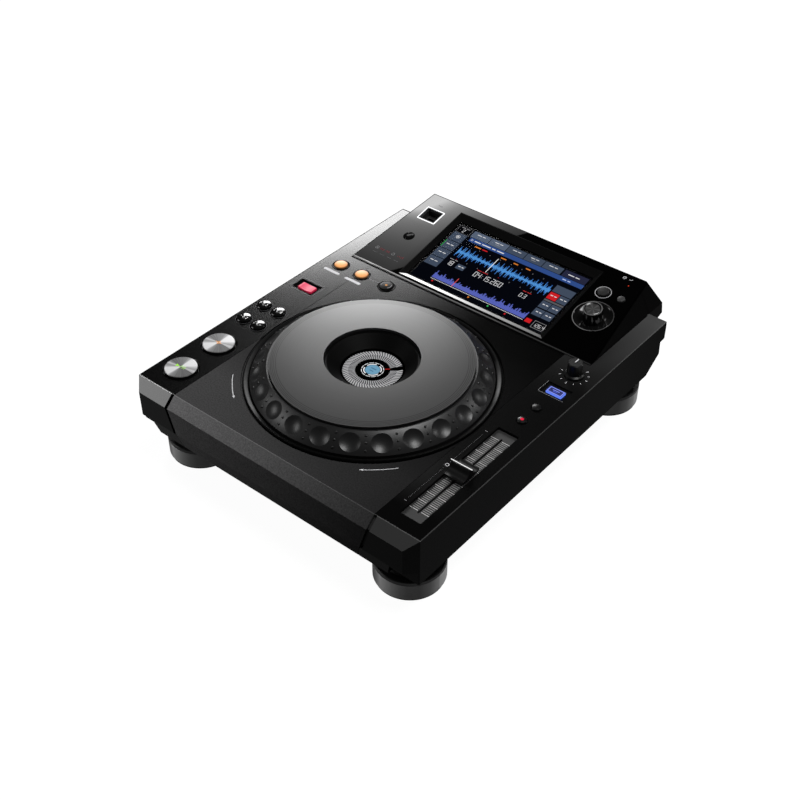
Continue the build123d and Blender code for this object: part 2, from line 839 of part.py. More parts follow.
def make_jog_wheel():
    """The turning ring with its finger dents, running on the hub."""
    bore = hub_radius + hub_running_gap
    middle = wheel_slope_middle()
    shelf_foot = wheel_shelf_height - wheel_wall
    hub_foot = -pit_depth + hub_foot_gap
    hub_outer = bore + hub_wall
    cone = shelf_foot - hub_collar_top
    ring = turned(
        Polyline(
            (wheel_crest_radius, wheel_crest_height),
            (wheel_lip_radius, wheel_crest_height),
            (wheel_lip_radius, wheel_shelf_height),
            (bore + cone, wheel_shelf_height),
            (bore + cone, shelf_foot),
            (bore, hub_collar_top),
            (bore, hub_foot),
            (hub_outer, hub_foot),
            (hub_outer, hub_collar_top),
            (hub_outer + cone, shelf_foot),
            (wheel_crest_radius - 2 * wheel_wall, shelf_foot),
            (wheel_radius - wheel_wall, wheel_edge_height - wheel_wall / 2),
            (wheel_radius - wheel_wall, -wheel_skirt),
            (wheel_radius, -wheel_skirt),
            (wheel_radius, wheel_edge_height),
        ),
        ThreePointArc(
            (wheel_radius, wheel_edge_height),
            middle,
            (wheel_crest_radius, wheel_crest_height),
        ),
    )
    ball_radius = ((dent_width / 2) ** 2 + dent_depth ** 2) / (2 * dent_depth)
    tilt = math.atan2(wheel_radius - wheel_crest_radius, wheel_crest_height - wheel_edge_height)
    reach = ball_radius - dent_depth
    ball_x = dent_radius_on_wheel + reach * math.cos(tilt)
    ball_z = middle[1] + reach * math.sin(tilt)
    ball = Pos(ball_x, 0, ball_z) * Sphere(ball_radius)
    dents = [Rot(0, 0, step * 360 / dent_count) * ball for step in range(dent_count)]
    pin_hole = disc(platter_pin_radius + button_gap, 0, 2 * wheel_crest_height)
    holes = [place * pin_hole for place in pin_places()]
    keep("jog_ring", on_jog * (ring - dents - holes))
    strip_foot = -pit_depth + encoder_foot_gap
    strip = disc(encoder_radius, strip_foot, shelf_foot, encoder_radius - encoder_wall)
    slot_top = strip_foot + encoder_slot_height
    slot = upright_plate(4 * encoder_wall, 2 * encoder_wall, strip_foot - encoder_wall, slot_top)
    for step in range(encoder_slots):
        strip -= Rot(0, 0, step * 360 / encoder_slots) * Pos(encoder_radius, 0, 0) * slot
    keep("encoder_strip", on_jog * strip)


def pin_places():
    """Where the platter's guide pins stand."""
    return [
        Rot(0, 0, (step + 0.5) * 360 / platter_pin_count) * Pos(platter_pin_circle, 0, 0)
        for step in range(platter_pin_count)
    ]


def make_platter():
    """The crowned touch plate over the ring, which goes down a little when pressed."""
    edge = platter_edge_top - platter_foot
    plate = turned(
        ThreePointArc(
            (platter_radius, platter_edge_top),
            (
                (platter_radius + platter_hole_radius) / 2,
                (platter_edge_top + platter_crown_top) / 2 + platter_crown_bulge,
            ),
            (platter_hole_radius, platter_crown_top),
        ),
        Polyline(
            (platter_hole_radius, platter_crown_top),
            (platter_hole_radius, platter_foot),
            (platter_hole_radius + edge, platter_foot),
            (platter_hole_radius + 2 * edge, platter_crown_top - 1.4 * edge),
            (platter_radius - edge, platter_foot),
            (platter_radius, platter_foot),
            (platter_radius, platter_edge_top),
        ),
    )
    head_top = wheel_shelf_height - wheel_wall - key_flange_gap
    pin = disc(platter_pin_radius, head_top - key_flange, platter_edge_top)
    pin += disc(platter_pin_head, head_top - key_flange, head_top)
    pins = [place * pin for place in pin_places()]
    keep("jog_platter", on_jog * (plate + pins))


def make_jog_base():
    """The fixed base and hub under the wheel, the bezel, and the display in the middle."""
    floor_top = -pit_depth
    floor_foot = floor_top - pit_floor_thickness
    seat_inner = display_radius - wall
    tube_inner = hub_radius - 2 * wall
    base = turned_points([
        (0, floor_foot),
        (pit_radius - button_gap, floor_foot),
        (pit_radius - button_gap, floor_top),
        (hub_radius, floor_top),
        (hub_radius, hub_top),
        (seat_inner, hub_top),
        (seat_inner, hub_top - wall),
        (tube_inner, hub_top - wall),
        (tube_inner, floor_top),
        (0, floor_top),
    ])
    keep("jog_base", on_jog * base)
    bezel = turned(
        Polyline(
            (bezel_outer_radius, bezel_top - 1.2),
            (bezel_outer_radius, -bezel_seat),
            (bezel_inner_radius, -bezel_seat),
            (bezel_inner_radius, bezel_top - 1.8),
        ),
        ThreePointArc(
            (bezel_inner_radius, bezel_top - 1.8),
            (bezel_inner_radius + 2.4, bezel_top - 0.2),
            (bezel_outer_radius - 1.1, bezel_top),
        ),
        ThreePointArc(
            (bezel_outer_radius - 1.1, bezel_top),
            (bezel_outer_radius - 0.3, bezel_top - 0.4),
            (bezel_outer_radius, bezel_top - 1.2),
        ),
    )
    keep("jog_bezel", on_jog * bezel)
    seat = display_radius + display_gap
    surround = turned_points([
        (seat, hub_top),
        (seat, display_top + 0.3),
        (surround_rim_radius - surround_rim_wall, surround_rim_top),
        (surround_rim_radius, surround_rim_top),
        (surround_rim_radius, surround_rim_top - surround_rim_wall),
        (hub_radius, display_top + 2.0),
        (hub_radius, hub_top),
    ])
    keep("jog_surround", on_jog * surround)
    display = disc(display_radius, hub_top, display_top - display_glass)
    keep("jog_display", on_jog * display)
    keep("jog_window", on_jog * disc(display_radius, display_top - display_glass, display_top))
    strip_foot = floor_top + encoder_foot_gap
    slot_outer = encoder_radius + sensor_gap
    slot_inner = encoder_radius - encoder_wall - sensor_gap
    middle = (slot_outer + slot_inner) / 2
    fork_top = strip_foot + encoder_slot_height
    fork_length = slot_outer - slot_inner + 2 * sensor_arm
    fork = upright_plate(fork_length, sensor_width, floor_top, fork_top)
    fork -= upright_plate(slot_outer - slot_inner, 2 * sensor_width, strip_foot - sensor_gap, wall)
    keep("encoder_sensor", on_jog * Rot(0, 0, -60) * Pos(middle, 0, 0) * fork)


def screen_side_profile():
    """The screen unit seen from its side, as y and z."""
    lip_slope = lip_lean / lip_height
    skirt_front = deck_depth + lip_gap + lip_slope * screen_skirt_drop
    return [
        (screen_front_y, -screen_sink),
        (screen_front_y, screen_front_lip),
        (screen_rear_y, screen_rise + screen_front_lip),
        (screen_skirt_level_reach, 0),
        (screen_skirt_reach, -screen_skirt_tip_drop),
        (screen_skirt_foot_y, -screen_skirt_drop),
        (skirt_front, -screen_skirt_drop),
        (deck_depth + lip_gap, lip_gap),
        (deck_depth - wall - lip_gap, lip_gap),
        (deck_depth - wall - lip_gap, -screen_sink),
    ]


def screen_block(inset):
    """The outer form of the screen unit, or the same form drawn in by a wall."""
    side = Polygon(*screen_side_profile(), align=None)
    if inset:
        side = offset(side, amount=-inset, kind=Kind.INTERSECTION)
    length = extrude(Plane.YZ * side, screen_base_half_width, both=True)
    top_half = screen_base_half_width - screen_side_slope * 2 * screen_rise
    front = Polygon(
        (-screen_base_half_width, -2 * screen_skirt_drop),
        (screen_base_half_width, -2 * screen_skirt_drop),
        (screen_base_half_width, 0),
        (top_half, 2 * screen_rise),
        (-top_half, 2 * screen_rise),
        (-screen_base_half_width, 0),
        align=None,
    )
    if inset:
        front = offset(front, amount=-inset, kind=Kind.INTERSECTION)
    return length & extrude(Plane.XZ * front, 2 * deck_depth, both=True)


def panel_slab(low, high):
    """A thick layer along the tilted panel, between two depths measured from its face."""
    return on_panel * Pos(0, panel_length / 2, low) * Box(
        2 * body_width, 4 * panel_length, high - low, align=(Align.CENTER, Align.CENTER, Align.MIN)
    )


def frame_plate(low, high, grow=0.0):
    """A plate with the outline of the screen frame."""
    plate = upright_plate(frame_width + 2 * grow, frame_height + 2 * grow, low, high)
    return on_panel * Pos(frame_x, frame_front + frame_height / 2, 0) * plate


def window_middle():
    """The middle of the visible screen along the panel."""
    x = frame_x + (window_left - window_right) / 2
    v = frame_front + frame_height / 2 + (window_front - window_rear) / 2
    return x, v


def make_screen_unit():
    """The housing, its glossy panel, the screen frame, the glass and the display module."""
    whole = screen_block(0)
    under_panel = panel_slab(-4 * screen_rise, -panel_thickness)
    under_top = panel_slab(-4 * screen_rise, -panel_thickness - screen_wall)
    throat_front = screen_front_y + screen_wall
    throat_rear = deck_depth - wall - lip_gap - screen_wall
    throat_width = 2 * (screen_base_half_width - screen_wall)
    throat = upright_plate(throat_width, throat_rear - throat_front, -2 * screen_sink, screen_sink)
    throat = Pos(0, (throat_front + throat_rear) / 2, 0) * throat
    body = (whole & under_panel) - ((screen_block(screen_wall) + throat) & under_top)
    panel = whole & panel_slab(-panel_thickness, screen_rise)
    glass_foot = -window_depth - glass_thickness
    lcd_foot = glass_foot - lcd_thickness
    body -= frame_plate(lcd_foot - 4 * wall, 0, frame_hole_gap)
    panel -= frame_plate(-2 * panel_thickness, panel_thickness, frame_gap)
    holes = [
        (usb_stop_x, usb_stop_v, usb_stop_radius + button_gap),
        (back_x, back_v, back_radius + button_gap),
        (tag_x, tag_v, tag_radius + button_gap),
    ]
    for x, v, radius in holes:
        hole = on_panel * Pos(x, v, 0) * disc(radius, -5 * screen_wall, screen_wall)
        panel -= hole
        body -= hole
    dish_hole = on_panel * Pos(selector_x, selector_v, 0)
    panel -= dish_hole * disc(dish_radius + frame_gap, -screen_wall, screen_wall)
    body -= dish_hole * disc(dish_radius - 2.0, -5 * screen_wall, screen_wall)
    usb_hole = on_panel * Pos(usb_x, usb_v, 0)
    light_hole = upright_plate(
        usb_width + usb_fit_gap, usb_height + usb_fit_gap, -screen_wall, screen_wall, 0.8
    )
    panel -= usb_hole * light_hole
    inner_width = usb_width - 2 * usb_frame_wall
    inner_height = usb_height - 2 * usb_frame_wall
    socket_hole = upright_plate(
        inner_width + usb_fit_gap, inner_height + usb_fit_gap, -5 * screen_wall, screen_wall
    )
    body -= usb_hole * socket_hole
    keep("screen_housing", body)
    keep("display_panel", panel)
    window_width = frame_width - window_left - window_right
    window_height = frame_height - window_front - window_rear
    window_x, window_v = window_middle()
    in_frame = Pos(window_x - frame_x, window_v - frame_front - frame_height / 2, 0)
    rim = 2 * frame_rim
    top_outline = Rectangle(frame_width - rim, frame_height - rim)
    foot_outline = in_frame * Pos(0, 0, -window_depth) * Rectangle(window_width, window_height)
    funnel = loft([foot_outline.face(), top_outline.face()], ruled=True)
    below = in_frame * upright_plate(window_width, window_height, -window_depth - wall, -window_depth)
    seat_width = window_width + 2 * lcd_margin
    seat_height = window_height + 2 * lcd_margin
    seat = in_frame * upright_plate(seat_width, seat_height, glass_foot, -window_depth)
    frame = upright_plate(frame_width, frame_height, glass_foot, 0) - funnel - below - seat
    keep("screen_frame", on_panel * Pos(frame_x, frame_front + frame_height / 2, 0) * frame)
    on_window = on_panel * Pos(window_x, window_v, 0)
    glass = upright_plate(
        seat_width - 2 * glass_gap, seat_height - 2 * glass_gap, glass_foot, -window_depth
    )
    keep("touch_glass", on_window * glass)
    module = upright_plate(seat_width, seat_height, lcd_foot, glass_foot)
    lugs = upright_plate(frame_width, window_height / 3, lcd_foot, lcd_foot + sheet)
    module += Pos(frame_x - window_x, 0, 0) * lugs
    keep("lcd_module", on_window * module)


def make_usb_port():
    """The lit frame and the socket of the memory stick."""
    place = on_panel * Pos(usb_x, usb_v, 0)
    inner_width = usb_width - 2 * usb_frame_wall
    inner_height = usb_height - 2 * usb_frame_wall
    light = upright_plate(usb_width, usb_height, -panel_thickness, 0.2, 0.7)
    light -= upright_plate(inner_width - 0.4, inner_height - 0.4, -2 * panel_thickness, panel_thickness)
    keep("usb_light_frame", place * light)
    well_width = inner_width - 2 * usb_well_wall
    well_height = inner_height - 2 * usb_well_wall
    top = -panel_thickness
    well_foot = top - usb_well_depth
    port_foot = well_foot - usb_port_depth
    box_width = usb_port_width + 2 * usb_port_wall
    box_height = usb_port_height + 2 * usb_port_wall
    socket = upright_plate(inner_width, inner_height, well_foot - usb_well_wall, top)
    socket += upright_plate(box_width, box_height, port_foot - usb_well_wall, well_foot)
    socket -= upright_plate(well_width, well_height, well_foot, top)
    socket -= upright_plate(usb_port_width, usb_port_height, port_foot, well_foot)
    tongue = upright_plate(usb_port_width - 1.2, usb_tongue_thickness, port_foot, well_foot - 1.5)
    socket += Pos(0, (usb_port_height - usb_tongue_thickness) / 4, 0) * tongue
    keep("usb_socket", place * socket)


def crown_middle(radius, low, high):
    """A point on the arc that rises from a rim to a crown on the axis."""
    ball = (radius ** 2 + (high - low) ** 2) / (2 * (high - low))
    return radius / 2, high - ball + math.sqrt(ball ** 2 - (radius / 2) ** 2)


def push_cap(radius, rise, cover, depth, flange, crown=0.35, edge=0.5):
    """A round button held from below by a flange, with a stem down to its switch."""
    flange_top = -cover - key_flange_gap
    rim = radius - edge
    return turned(
        ThreePointArc((rim, rise), crown_middle(rim, rise, rise + crown), (0, rise + crown)),
        Polyline(
            (0, rise + crown),
            (0, -depth),
            (key_stem_radius, -depth),
            (key_stem_radius, flange_top - key_flange),
            (radius + flange, flange_top - key_flange),
            (radius + flange, flange_top),
            (radius, flange_top),
            (radius, rise - edge),
            (rim, rise),
        ),
    )


def make_panel_keys():
    """The buttons of the screen unit."""
    cover = panel_thickness + screen_wall
    depth = panel_board_depth - key_travel - key_stem_gap
    keys = {
        "usb_stop_button": (usb_stop_x, usb_stop_v, usb_stop_radius, 0.9),
        "back_button": (back_x, back_v, back_radius, 1.7),
        "tag_button": (tag_x, tag_v, tag_radius, 1.3),
    }
    for name, (x, v, radius, rise) in keys.items():
        cap = push_cap(radius, rise, cover, depth, key_flange_reach)
        keep(name, on_panel * Pos(x, v, 0) * cap)


def make_selector():
    """The dished ring, the fluted selector knob and the plunger that carries it."""
    place = on_panel * Pos(selector_x, selector_v, 0)
    hole = shaft_radius + 0.6
    dish = turned(
        Polyline(
            (dish_radius, -panel_thickness),
            (dish_radius, 0.25),
            (dish_radius - 0.9, 0.25),
            (dish_radius - 1.4, -0.3),
        ),
        ThreePointArc(
            (dish_radius - 1.4, -0.3),
            ((dish_radius + selector_radius) / 2, -dish_depth * 0.66),
            (selector_radius, -dish_depth),
        ),
        Polyline(
            (selector_radius, -dish_depth),
            (hole, -dish_depth),
            (hole, -dish_depth - dish_floor),
            (dish_radius - 2.2, -dish_depth - dish_floor),
            (dish_radius - 2.2, -panel_thickness),
            (dish_radius, -panel_thickness),
        ),
    )
    keep("selector_dish", place * dish)
    knob_foot = -dish_depth + selector_travel + 0.5
    bore = shaft_radius + shaft_running_gap
    bore_top = selector_top - 4.0
    knob = turned_points([
        (0, selector_top - 0.7),
        (selector_radius - 2.6, selector_top - 0.7),
        (selector_radius - 1.3, selector_top),
        (selector_radius - 0.5, selector_top),
        (selector_radius, selector_top - 0.6),
        (selector_radius, knob_foot),
        (bore, knob_foot),
        (bore, bore_top),
        (0, bore_top),
    ])
    flute = Cylinder(2.6, 4 * selector_top)
    fluted = disc(2 * selector_radius, knob_foot, selector_top - 1.6)
    for step in range(selector_flutes):
        turn = Rot(0, 0, (step + 0.5) * 360 / selector_flutes)
        knob -= turn * Pos(selector_radius + 1.9, 0, 0) * flute & fluted
    keep("selector_knob", place * knob)
    plunger = disc(shaft_radius, bore_top - shaft_length, bore_top - 0.15)
    stop_top = -dish_depth - dish_floor - key_flange_gap
    plunger += disc(shaft_radius + 2.0, stop_top - 1.2, stop_top)
    keep("selector_shaft", place * plunger)


def make_deck_keys():
    """The buttons and the lever of the deck."""
    depth = key_board_top - key_travel - key_stem_gap
    play_depth = key_board_top - play_travel - key_stem_gap
    for name, y in (("play_button", play_y), ("cue_button", cue_y)):
        cap = push_cap(
            play_radius, play_rise, wall, play_depth, play_flange_reach, crown=0.25, edge=0.6
        )
        keep(name, Pos(play_x, y, 0) * cap)
    rings = []
    for x in (loop_in_x, loop_out_x, reloop_x):
        hole = loop_ring_radius - loop_ring_wall / 2
        ring = turned_points([
            (loop_radius + button_gap, -wall),
            (hole - 0.1, -wall),
            (hole - 0.1, 0),
            (loop_ring_radius, 0),
            (loop_ring_radius - 0.5, loop_ring_rise),
            (loop_radius + button_gap, loop_ring_rise - 0.2),
        ])
        rings.append(Pos(x, loop_row_y, 0) * ring)
    keep("loop_rings", Part() + rings)
    loops = {
        "loop_in_button": loop_in_x,
        "loop_out_button": loop_out_x,
        "reloop_button": reloop_x,
    }
    for name, x in loops.items():
        cap = push_cap(
            loop_radius, loop_rise, wall, depth, key_flange_reach, crown=loop_crown, edge=0.5
        )
        keep(name, Pos(x, loop_row_y, 0) * cap)
    searches = {
        "track_back_button": (search_column_left, track_row_y),
        "track_forward_button": (search_column_right, track_row_y),
        "search_back_button": (search_column_left, search_row_y),
        "search_forward_button": (search_column_right, search_row_y),
    }
    for name, (x, y) in searches.items():
        cap = push_cap(
            search_radius, search_rise, wall, depth, key_flange_reach, crown=0.8, edge=0.4
        )
        keep(name, Pos(x, y, 0) * cap)
    for name, y in (("master_tempo_button", master_tempo_y), ("tempo_range_button", tempo_range_y)):
        cap = push_cap(
            small_key_radius, small_key_rise, wall, depth, key_flange_reach, crown=0.6, edge=0.4
        )
        keep(name, Pos(right_column_x, y, 0) * cap)
    flange_top = -wall - key_flange_gap
    flange_foot = flange_top - key_flange
    key = upright_plate(jog_mode_width, jog_mode_height, flange_foot, jog_mode_rise, 0.8)
    key = chamfer(key.edges().group_by(Axis.Z)[-1], 0.3)
    key += upright_plate(
        jog_mode_width + 2 * key_flange_reach,
        jog_mode_height + 2 * key_flange_reach,
        flange_foot,
        flange_top,
        0.8,
    )
    key += disc(key_stem_radius, -depth, flange_foot)
    keep("jog_mode_button", Pos(jog_mode_x, jog_mode_y, 0) * key)
    lever_x = lever_slot_right - lever_gap - lever_length / 2
    lever_y = lever_slot_front + lever_front_gap + lever_width / 2
    grip = upright_plate(lever_length, lever_width, flange_top, lever_rise, 1.2)
    grip = fillet(grip.edges().group_by(Axis.Z)[-1], 0.5)
    saddle_radius = 2.2 * lever_length
    saddle = Cylinder(saddle_radius, 2 * lever_width, rotation=(90, 0, 0))
    grip -= Pos(0, 0, lever_rise + saddle_radius - lever_saddle) * saddle
    shoe_left = wall + lever_wall_gap + lever_travel - body_width / 2
    shoe_right = lever_slot_right + lever_travel + lever_shoe_margin
    shoe_length = shoe_right - shoe_left
    shoe_x = (shoe_left + shoe_right) / 2 - lever_x
    shoe_y = (lever_slot_front + lever_slot_rear) / 2 - lever_y
    shoe_width = lever_slot_width + 2 * lever_shoe_margin
    shoe = upright_plate(shoe_length, shoe_width, flange_foot, flange_top)
    fork = upright_plate(3.0, 4.0, -depth, flange_foot)
    lever = grip + Pos(shoe_x, shoe_y, 0) * shoe + fork
    keep("direction_lever", Pos(lever_x, lever_y, 0) * lever)


def make_speed_knob():
    """The small fluted knob with its pointer."""
    skirt = speed_radius + speed_skirt
    knob = turned_points([
        (0, speed_height),
        (speed_radius - 1.3, speed_height),
        (speed_radius - 0.6, speed_height - 0.6),
        (speed_radius, 2 * speed_skirt),
        (skirt - 0.2, speed_skirt + 0.6),
        (skirt, speed_foot),
        (shaft_radius, speed_foot),
        (shaft_radius, -key_board_top + key_gap),
        (0, -key_board_top + key_gap),
    ])
    flute_foot = 2 * speed_skirt + 0.4
    flute = Cylinder(0.8, speed_height - flute_foot - 1.0, align=(Align.CENTER, Align.CENTER, Align.MIN))
    for step in range(speed_flutes):
        turn = Rot(0, 0, (step + 0.5) * 360 / speed_flutes)
        knob -= turn * Pos(speed_radius + 0.3, 0, flute_foot) * flute
    pointer = Pos(0, speed_radius / 2, speed_height) * Box(1.0, speed_radius - 2.0, 0.5)
    keep("vinyl_speed_knob", Pos(right_column_x, speed_y, 0) * (knob + pointer))


def make_fader():
    """The scale plate, the sliding cap on its stem and the fader's body below."""
    place = Pos(right_column_x, fader_middle_y, 0)
    plate_top = -fader_plate_sink
    plate_foot = plate_top - fader_plate_thickness
    plate = upright_plate(
        fader_pocket_width - 2 * fader_plate_gap,
        fader_pocket_length - 2 * fader_plate_gap,
        plate_foot,
        plate_top,
        1.0,
    )
    ledge_foot = -wall - key_flange
    ledge = upright_plate(
        fader_pocket_width + 2 * fader_ledge,
        fader_pocket_length + 2 * fader_ledge,
        ledge_foot,
        -wall,
    )
    rim = fader_slot_width / 2 - 0.01
    slot = upright_plate(fader_slot_width, fader_slot_length, 3 * ledge_foot, wall, rim)
    keep("fader_plate", place * (plate + ledge - slot))
    body_top = ledge_foot
    body_foot = body_top - fader_body_depth
    body = upright_plate(fader_body_width, fader_pocket_length + 2.0, body_foot, body_top)
    channel_length = fader_slot_length + 2 * fader_carriage_gap
    channel = upright_plate(fader_channel_width, channel_length, body_foot + 1.2, body_top - 1.0)
    keep("fader_body", place * (body - channel - slot))
    stem_foot = body_foot + 3.0
    stem = upright_plate(fader_stem_thickness, fader_stem_length, stem_foot, fader_cap_height / 2)
    carriage_length = fader_stem_length + 2 * fader_carriage_gap
    carriage = upright_plate(fader_carriage_width, carriage_length, stem_foot - 0.8, stem_foot + 2.4)
    keep("fader_stem", place * (stem + carriage))
    half = fader_cap_length / 2
    top = fader_cap_height
    foot = fader_cap_lift
    grip = fader_cap_ridge / 2
    toe = foot + fader_cap_toe
    waist = (grip + 2.4, toe + 1.2)
    outline = make_face([
        ThreePointArc((grip + 0.6, top - 2.0), waist, (half, toe)),
        Polyline((half, toe), (half, foot), (-half, foot), (-half, toe)),
        ThreePointArc((-half, toe), (-waist[0], waist[1]), (-grip - 0.6, top - 2.0)),
        Polyline(
            (-grip - 0.6, top - 2.0),
            (-grip, top - 0.4),
            (-grip + 0.4, top),
            (grip - 0.4, top),
            (grip, top - 0.4),
            (grip + 0.6, top - 2.0),
        ),
    ])
    cap = extrude(Plane.YZ * outline, fader_cap_width / 2, both=True)
    socket = upright_plate(
        fader_stem_thickness + fader_cap_play,
        fader_stem_length + fader_cap_play,
        foot - 1.0,
        (fader_cap_height + fader_cap_play) / 2,
    )
    keep("fader_cap", place * (cap - socket))


def make_sockets():
    """The mains inlet, the data sockets, the sound jacks and the power button."""
    place = Pos(0, rear_wall_y, socket_row_z)
    facing = Rot(-90, 0, 0)
    inlet = upright_plate(inlet_width, inlet_height, -inlet_depth, 0)
    inlet += upright_plate(
        inlet_width + 2 * inlet_wall, inlet_height + 2 * inlet_flange, 0, inlet_flange, 1.0
    )
    recess = upright_plate(
        inlet_width - 2 * inlet_wall, inlet_height - 4.0, 5.0 - inlet_depth, 2 * inlet_flange
    )
    recess = chamfer(recess.edges().filter_by(Axis.Z).sort_by(Axis.Y)[:2], 4.0)
    inlet -= recess
    for x, y in ((-inlet_pin_x, 1.6), (0, -2.4), (inlet_pin_x, 1.6)):
        inlet += Pos(x, y, 0) * upright_plate(2.0, 4.0, 4.0 - inlet_depth, -3.0)
    keep("mains_inlet", place * Pos(inlet_x, 0, 0) * facing * inlet)
    lan = upright_plate(lan_width, lan_height, -lan_depth, socket_proud)
    lan -= upright_plate(11.8, 6.8, 4.0 - lan_depth, 2.0)
    lan -= Pos(0, 4.4, 0) * upright_plate(6.2, 2.6, 4.0 - lan_depth, 2.0)
    keep("network_socket", place * Pos(lan_x, 0, 0) * facing * lan)
    host = upright_plate(host_width, host_height, -host_depth, socket_proud)
    well = upright_plate(8.6, 7.8, 5.0 - host_depth, 2.0)
    well = chamfer(well.edges().filter_by(Axis.Z).sort_by(Axis.Y)[:2], 1.6)
    host = host - well + upright_plate(5.6, 3.0, 4.0 - host_depth, -2.0)
    keep("computer_socket", place * Pos(host_x, 0, 0) * facing * host)
    sleeve = turned_points([
        (jack_bore, -jack_depth),
        (jack_radius, -jack_depth),
        (jack_radius, 0),
        (jack_flange_radius, 0),
        (jack_flange_radius, jack_flange),
        (jack_radius, jack_flange),
        (jack_radius, jack_length),
        (jack_radius - 0.6, jack_length),
        (jack_radius - 0.6, jack_length - 0.8),
        (jack_bore, jack_length - 0.8),
    ])
    keep("digital_out_jack", place * Pos(digital_x, 0, 0) * facing * sleeve)
    pair = [Pos(x, 0, 0) * facing * sleeve for x in (audio_left_x, audio_right_x)]
    bridge_length = audio_right_x - audio_left_x
    bridge = upright_plate(bridge_length, jack_flange_radius, 1.0 - jack_depth, -rear_sheet)
    bridge = Pos((audio_left_x + audio_right_x) / 2, 0, 0) * facing * bridge
    keep("audio_out_jacks", place * (Part() + pair + bridge))
    key = upright_plate(power_width, power_height, -power_depth, power_travel + power_proud, 1.2)
    key = fillet(key.edges().group_by(Axis.Z)[-1], 0.6)
    key += upright_plate(
        power_width + 2 * key_flange_reach,
        power_height + 2 * key_flange_reach,
        -power_depth - key_flange,
        -power_depth,
    )
    keep("power_button", place * Pos(power_x, 0, 0) * facing * key)


def make_boards():
    """The main board, the power supply and the two boards under the deck's keys."""
    main = Pos(0, main_board_y, -board_height - board) * extrude(
        Rectangle(main_board_width, main_board_length), board
    )
    chips = [
        (-40.0, 30.0, 28.0, 28.0, 2.2),
        (10.0, 30.0, 18.0, 18.0, 1.8),
        (46.0, -20.0, 22.0, 14.0, 1.6),
        (-52.0, -30.0, 14.0, 30.0, 4.0),
        (20.0, -48.0, 40.0, 8.0, 6.0),
    ]
    for x, y, width, length, height in chips:
        chip = extrude(Rectangle(width, length), height)
        main += Pos(x, main_board_y + y, -board_height) * chip
    keep("main_board", main)
    base = -body_height + sheet
    supply = extrude(Rectangle(supply_width, supply_length), supply_board)
    supply += Pos(coil_x, 0, 0) * extrude(Rectangle(coil_width, coil_length), coil_height)
    for step in range(3):
        place = Pos(capacitor_pitch * (1 + step % 2), capacitor_pitch * (step - 1), 0)
        supply += place * disc(capacitor_radius, 0, capacitor_height)
    sink = extrude(Rectangle(sink_length, sink_thickness), sink_height)
    supply += Pos(0, sink_margin - supply_length / 2, 0) * sink
    supply = Pos(supply_x, supply_y, base) * supply
    keep("power_supply", supply)
    top = -key_board_top
    outer = body_width / 2 - key_board_inset
    inner = seam_half_width + 3.6
    waist = pit_radius + 7.0
    left_outline = Polygon(
        (-outer, 12.0),
        (-inner, 12.0),
        (-inner, cue_y + 12.0),
        (-waist, jog_y - 25.0),
        (-waist, jog_y + 41.0),
        (loop_out_x - 2.5, loop_row_y - 10.4),
        (reloop_x + 9.4, loop_row_y - 10.4),
        (reloop_x + 9.4, loop_row_y + 10.6),
        (-outer, loop_row_y + 10.6),
        align=None,
    )
    right_inner = right_column_x - 12.3
    right_front = master_tempo_y - 13.4
    right_rear = speed_y + 14.6
    right_middle = Pos((outer + right_inner) / 2, (right_front + right_rear) / 2)
    right_outline = right_middle * Rectangle(outer - right_inner, right_rear - right_front)
    boards = Pos(0, 0, top - board) * extrude(left_outline, board)
    boards += Pos(0, 0, top - board) * extrude(right_outline, board)
    low = -panel_board_depth - board
    tilted = Pos(selector_x + 1.0, (selector_v + back_v) / 2, 0)
    boards += on_panel * tilted * upright_plate(36.0, 58.0, low, -panel_board_depth)
    stop_board = upright_plate(18.0, 18.0, low, -panel_board_depth)
    boards += on_panel * Pos(usb_stop_x, usb_stop_v, 0) * stop_board
    keep("key_boards", boards)


def build_player():
    """Makes every piece and writes each one to its own file."""
    make_covers()
    make_base()
    make_feet()
    make_jog_wheel()
    make_platter()
    make_jog_base()
    make_screen_unit()
    make_usb_port()
    make_panel_keys()
    make_selector()
    make_deck_keys()
    make_speed_knob()
    make_fader()
    make_sockets()
    make_boards()
    os.makedirs("parts", exist_ok=True)
    for name, shape in pieces.items():
        export_step(shape, f"parts/{name}.step")
        print(name, len(shape.solids()), round(shape.volume, 1))


build_player()
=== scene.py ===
import math

import bmesh
import bpy
from mathutils import Matrix, Vector


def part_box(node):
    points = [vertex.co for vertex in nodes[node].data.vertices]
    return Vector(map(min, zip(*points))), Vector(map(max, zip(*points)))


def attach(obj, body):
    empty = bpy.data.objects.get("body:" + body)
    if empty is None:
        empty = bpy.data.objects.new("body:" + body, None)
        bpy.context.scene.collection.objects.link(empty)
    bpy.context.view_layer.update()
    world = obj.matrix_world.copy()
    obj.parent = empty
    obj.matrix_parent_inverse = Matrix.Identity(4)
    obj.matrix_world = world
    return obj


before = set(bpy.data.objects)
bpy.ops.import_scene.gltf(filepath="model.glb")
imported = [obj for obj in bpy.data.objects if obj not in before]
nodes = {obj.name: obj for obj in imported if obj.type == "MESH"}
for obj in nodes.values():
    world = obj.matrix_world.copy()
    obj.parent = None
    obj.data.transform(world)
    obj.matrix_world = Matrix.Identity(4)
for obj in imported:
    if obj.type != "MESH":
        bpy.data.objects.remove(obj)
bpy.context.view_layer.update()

# Looks of a desktop media player with a jog wheel, a tempo fader and a tilted touch screen.
# Places are given in millimetres over the deck: x to the right from its middle, y back from
# its front edge and z up from its top. On the tilted panel they are x, the way up the slope
# and the height over the panel. A grey may be written as one number.

mm = 0.001

# Camera and studio
camera_azimuth = math.radians(39.6)
camera_elevation = math.radians(39.654)
camera_place = Vector((0.53543, -0.66914, 0.72898))
camera_lens = 55.353
camera_sensor = 36.0
room_light = 0.02
paper_white = 0.96
floor_size = 8.0
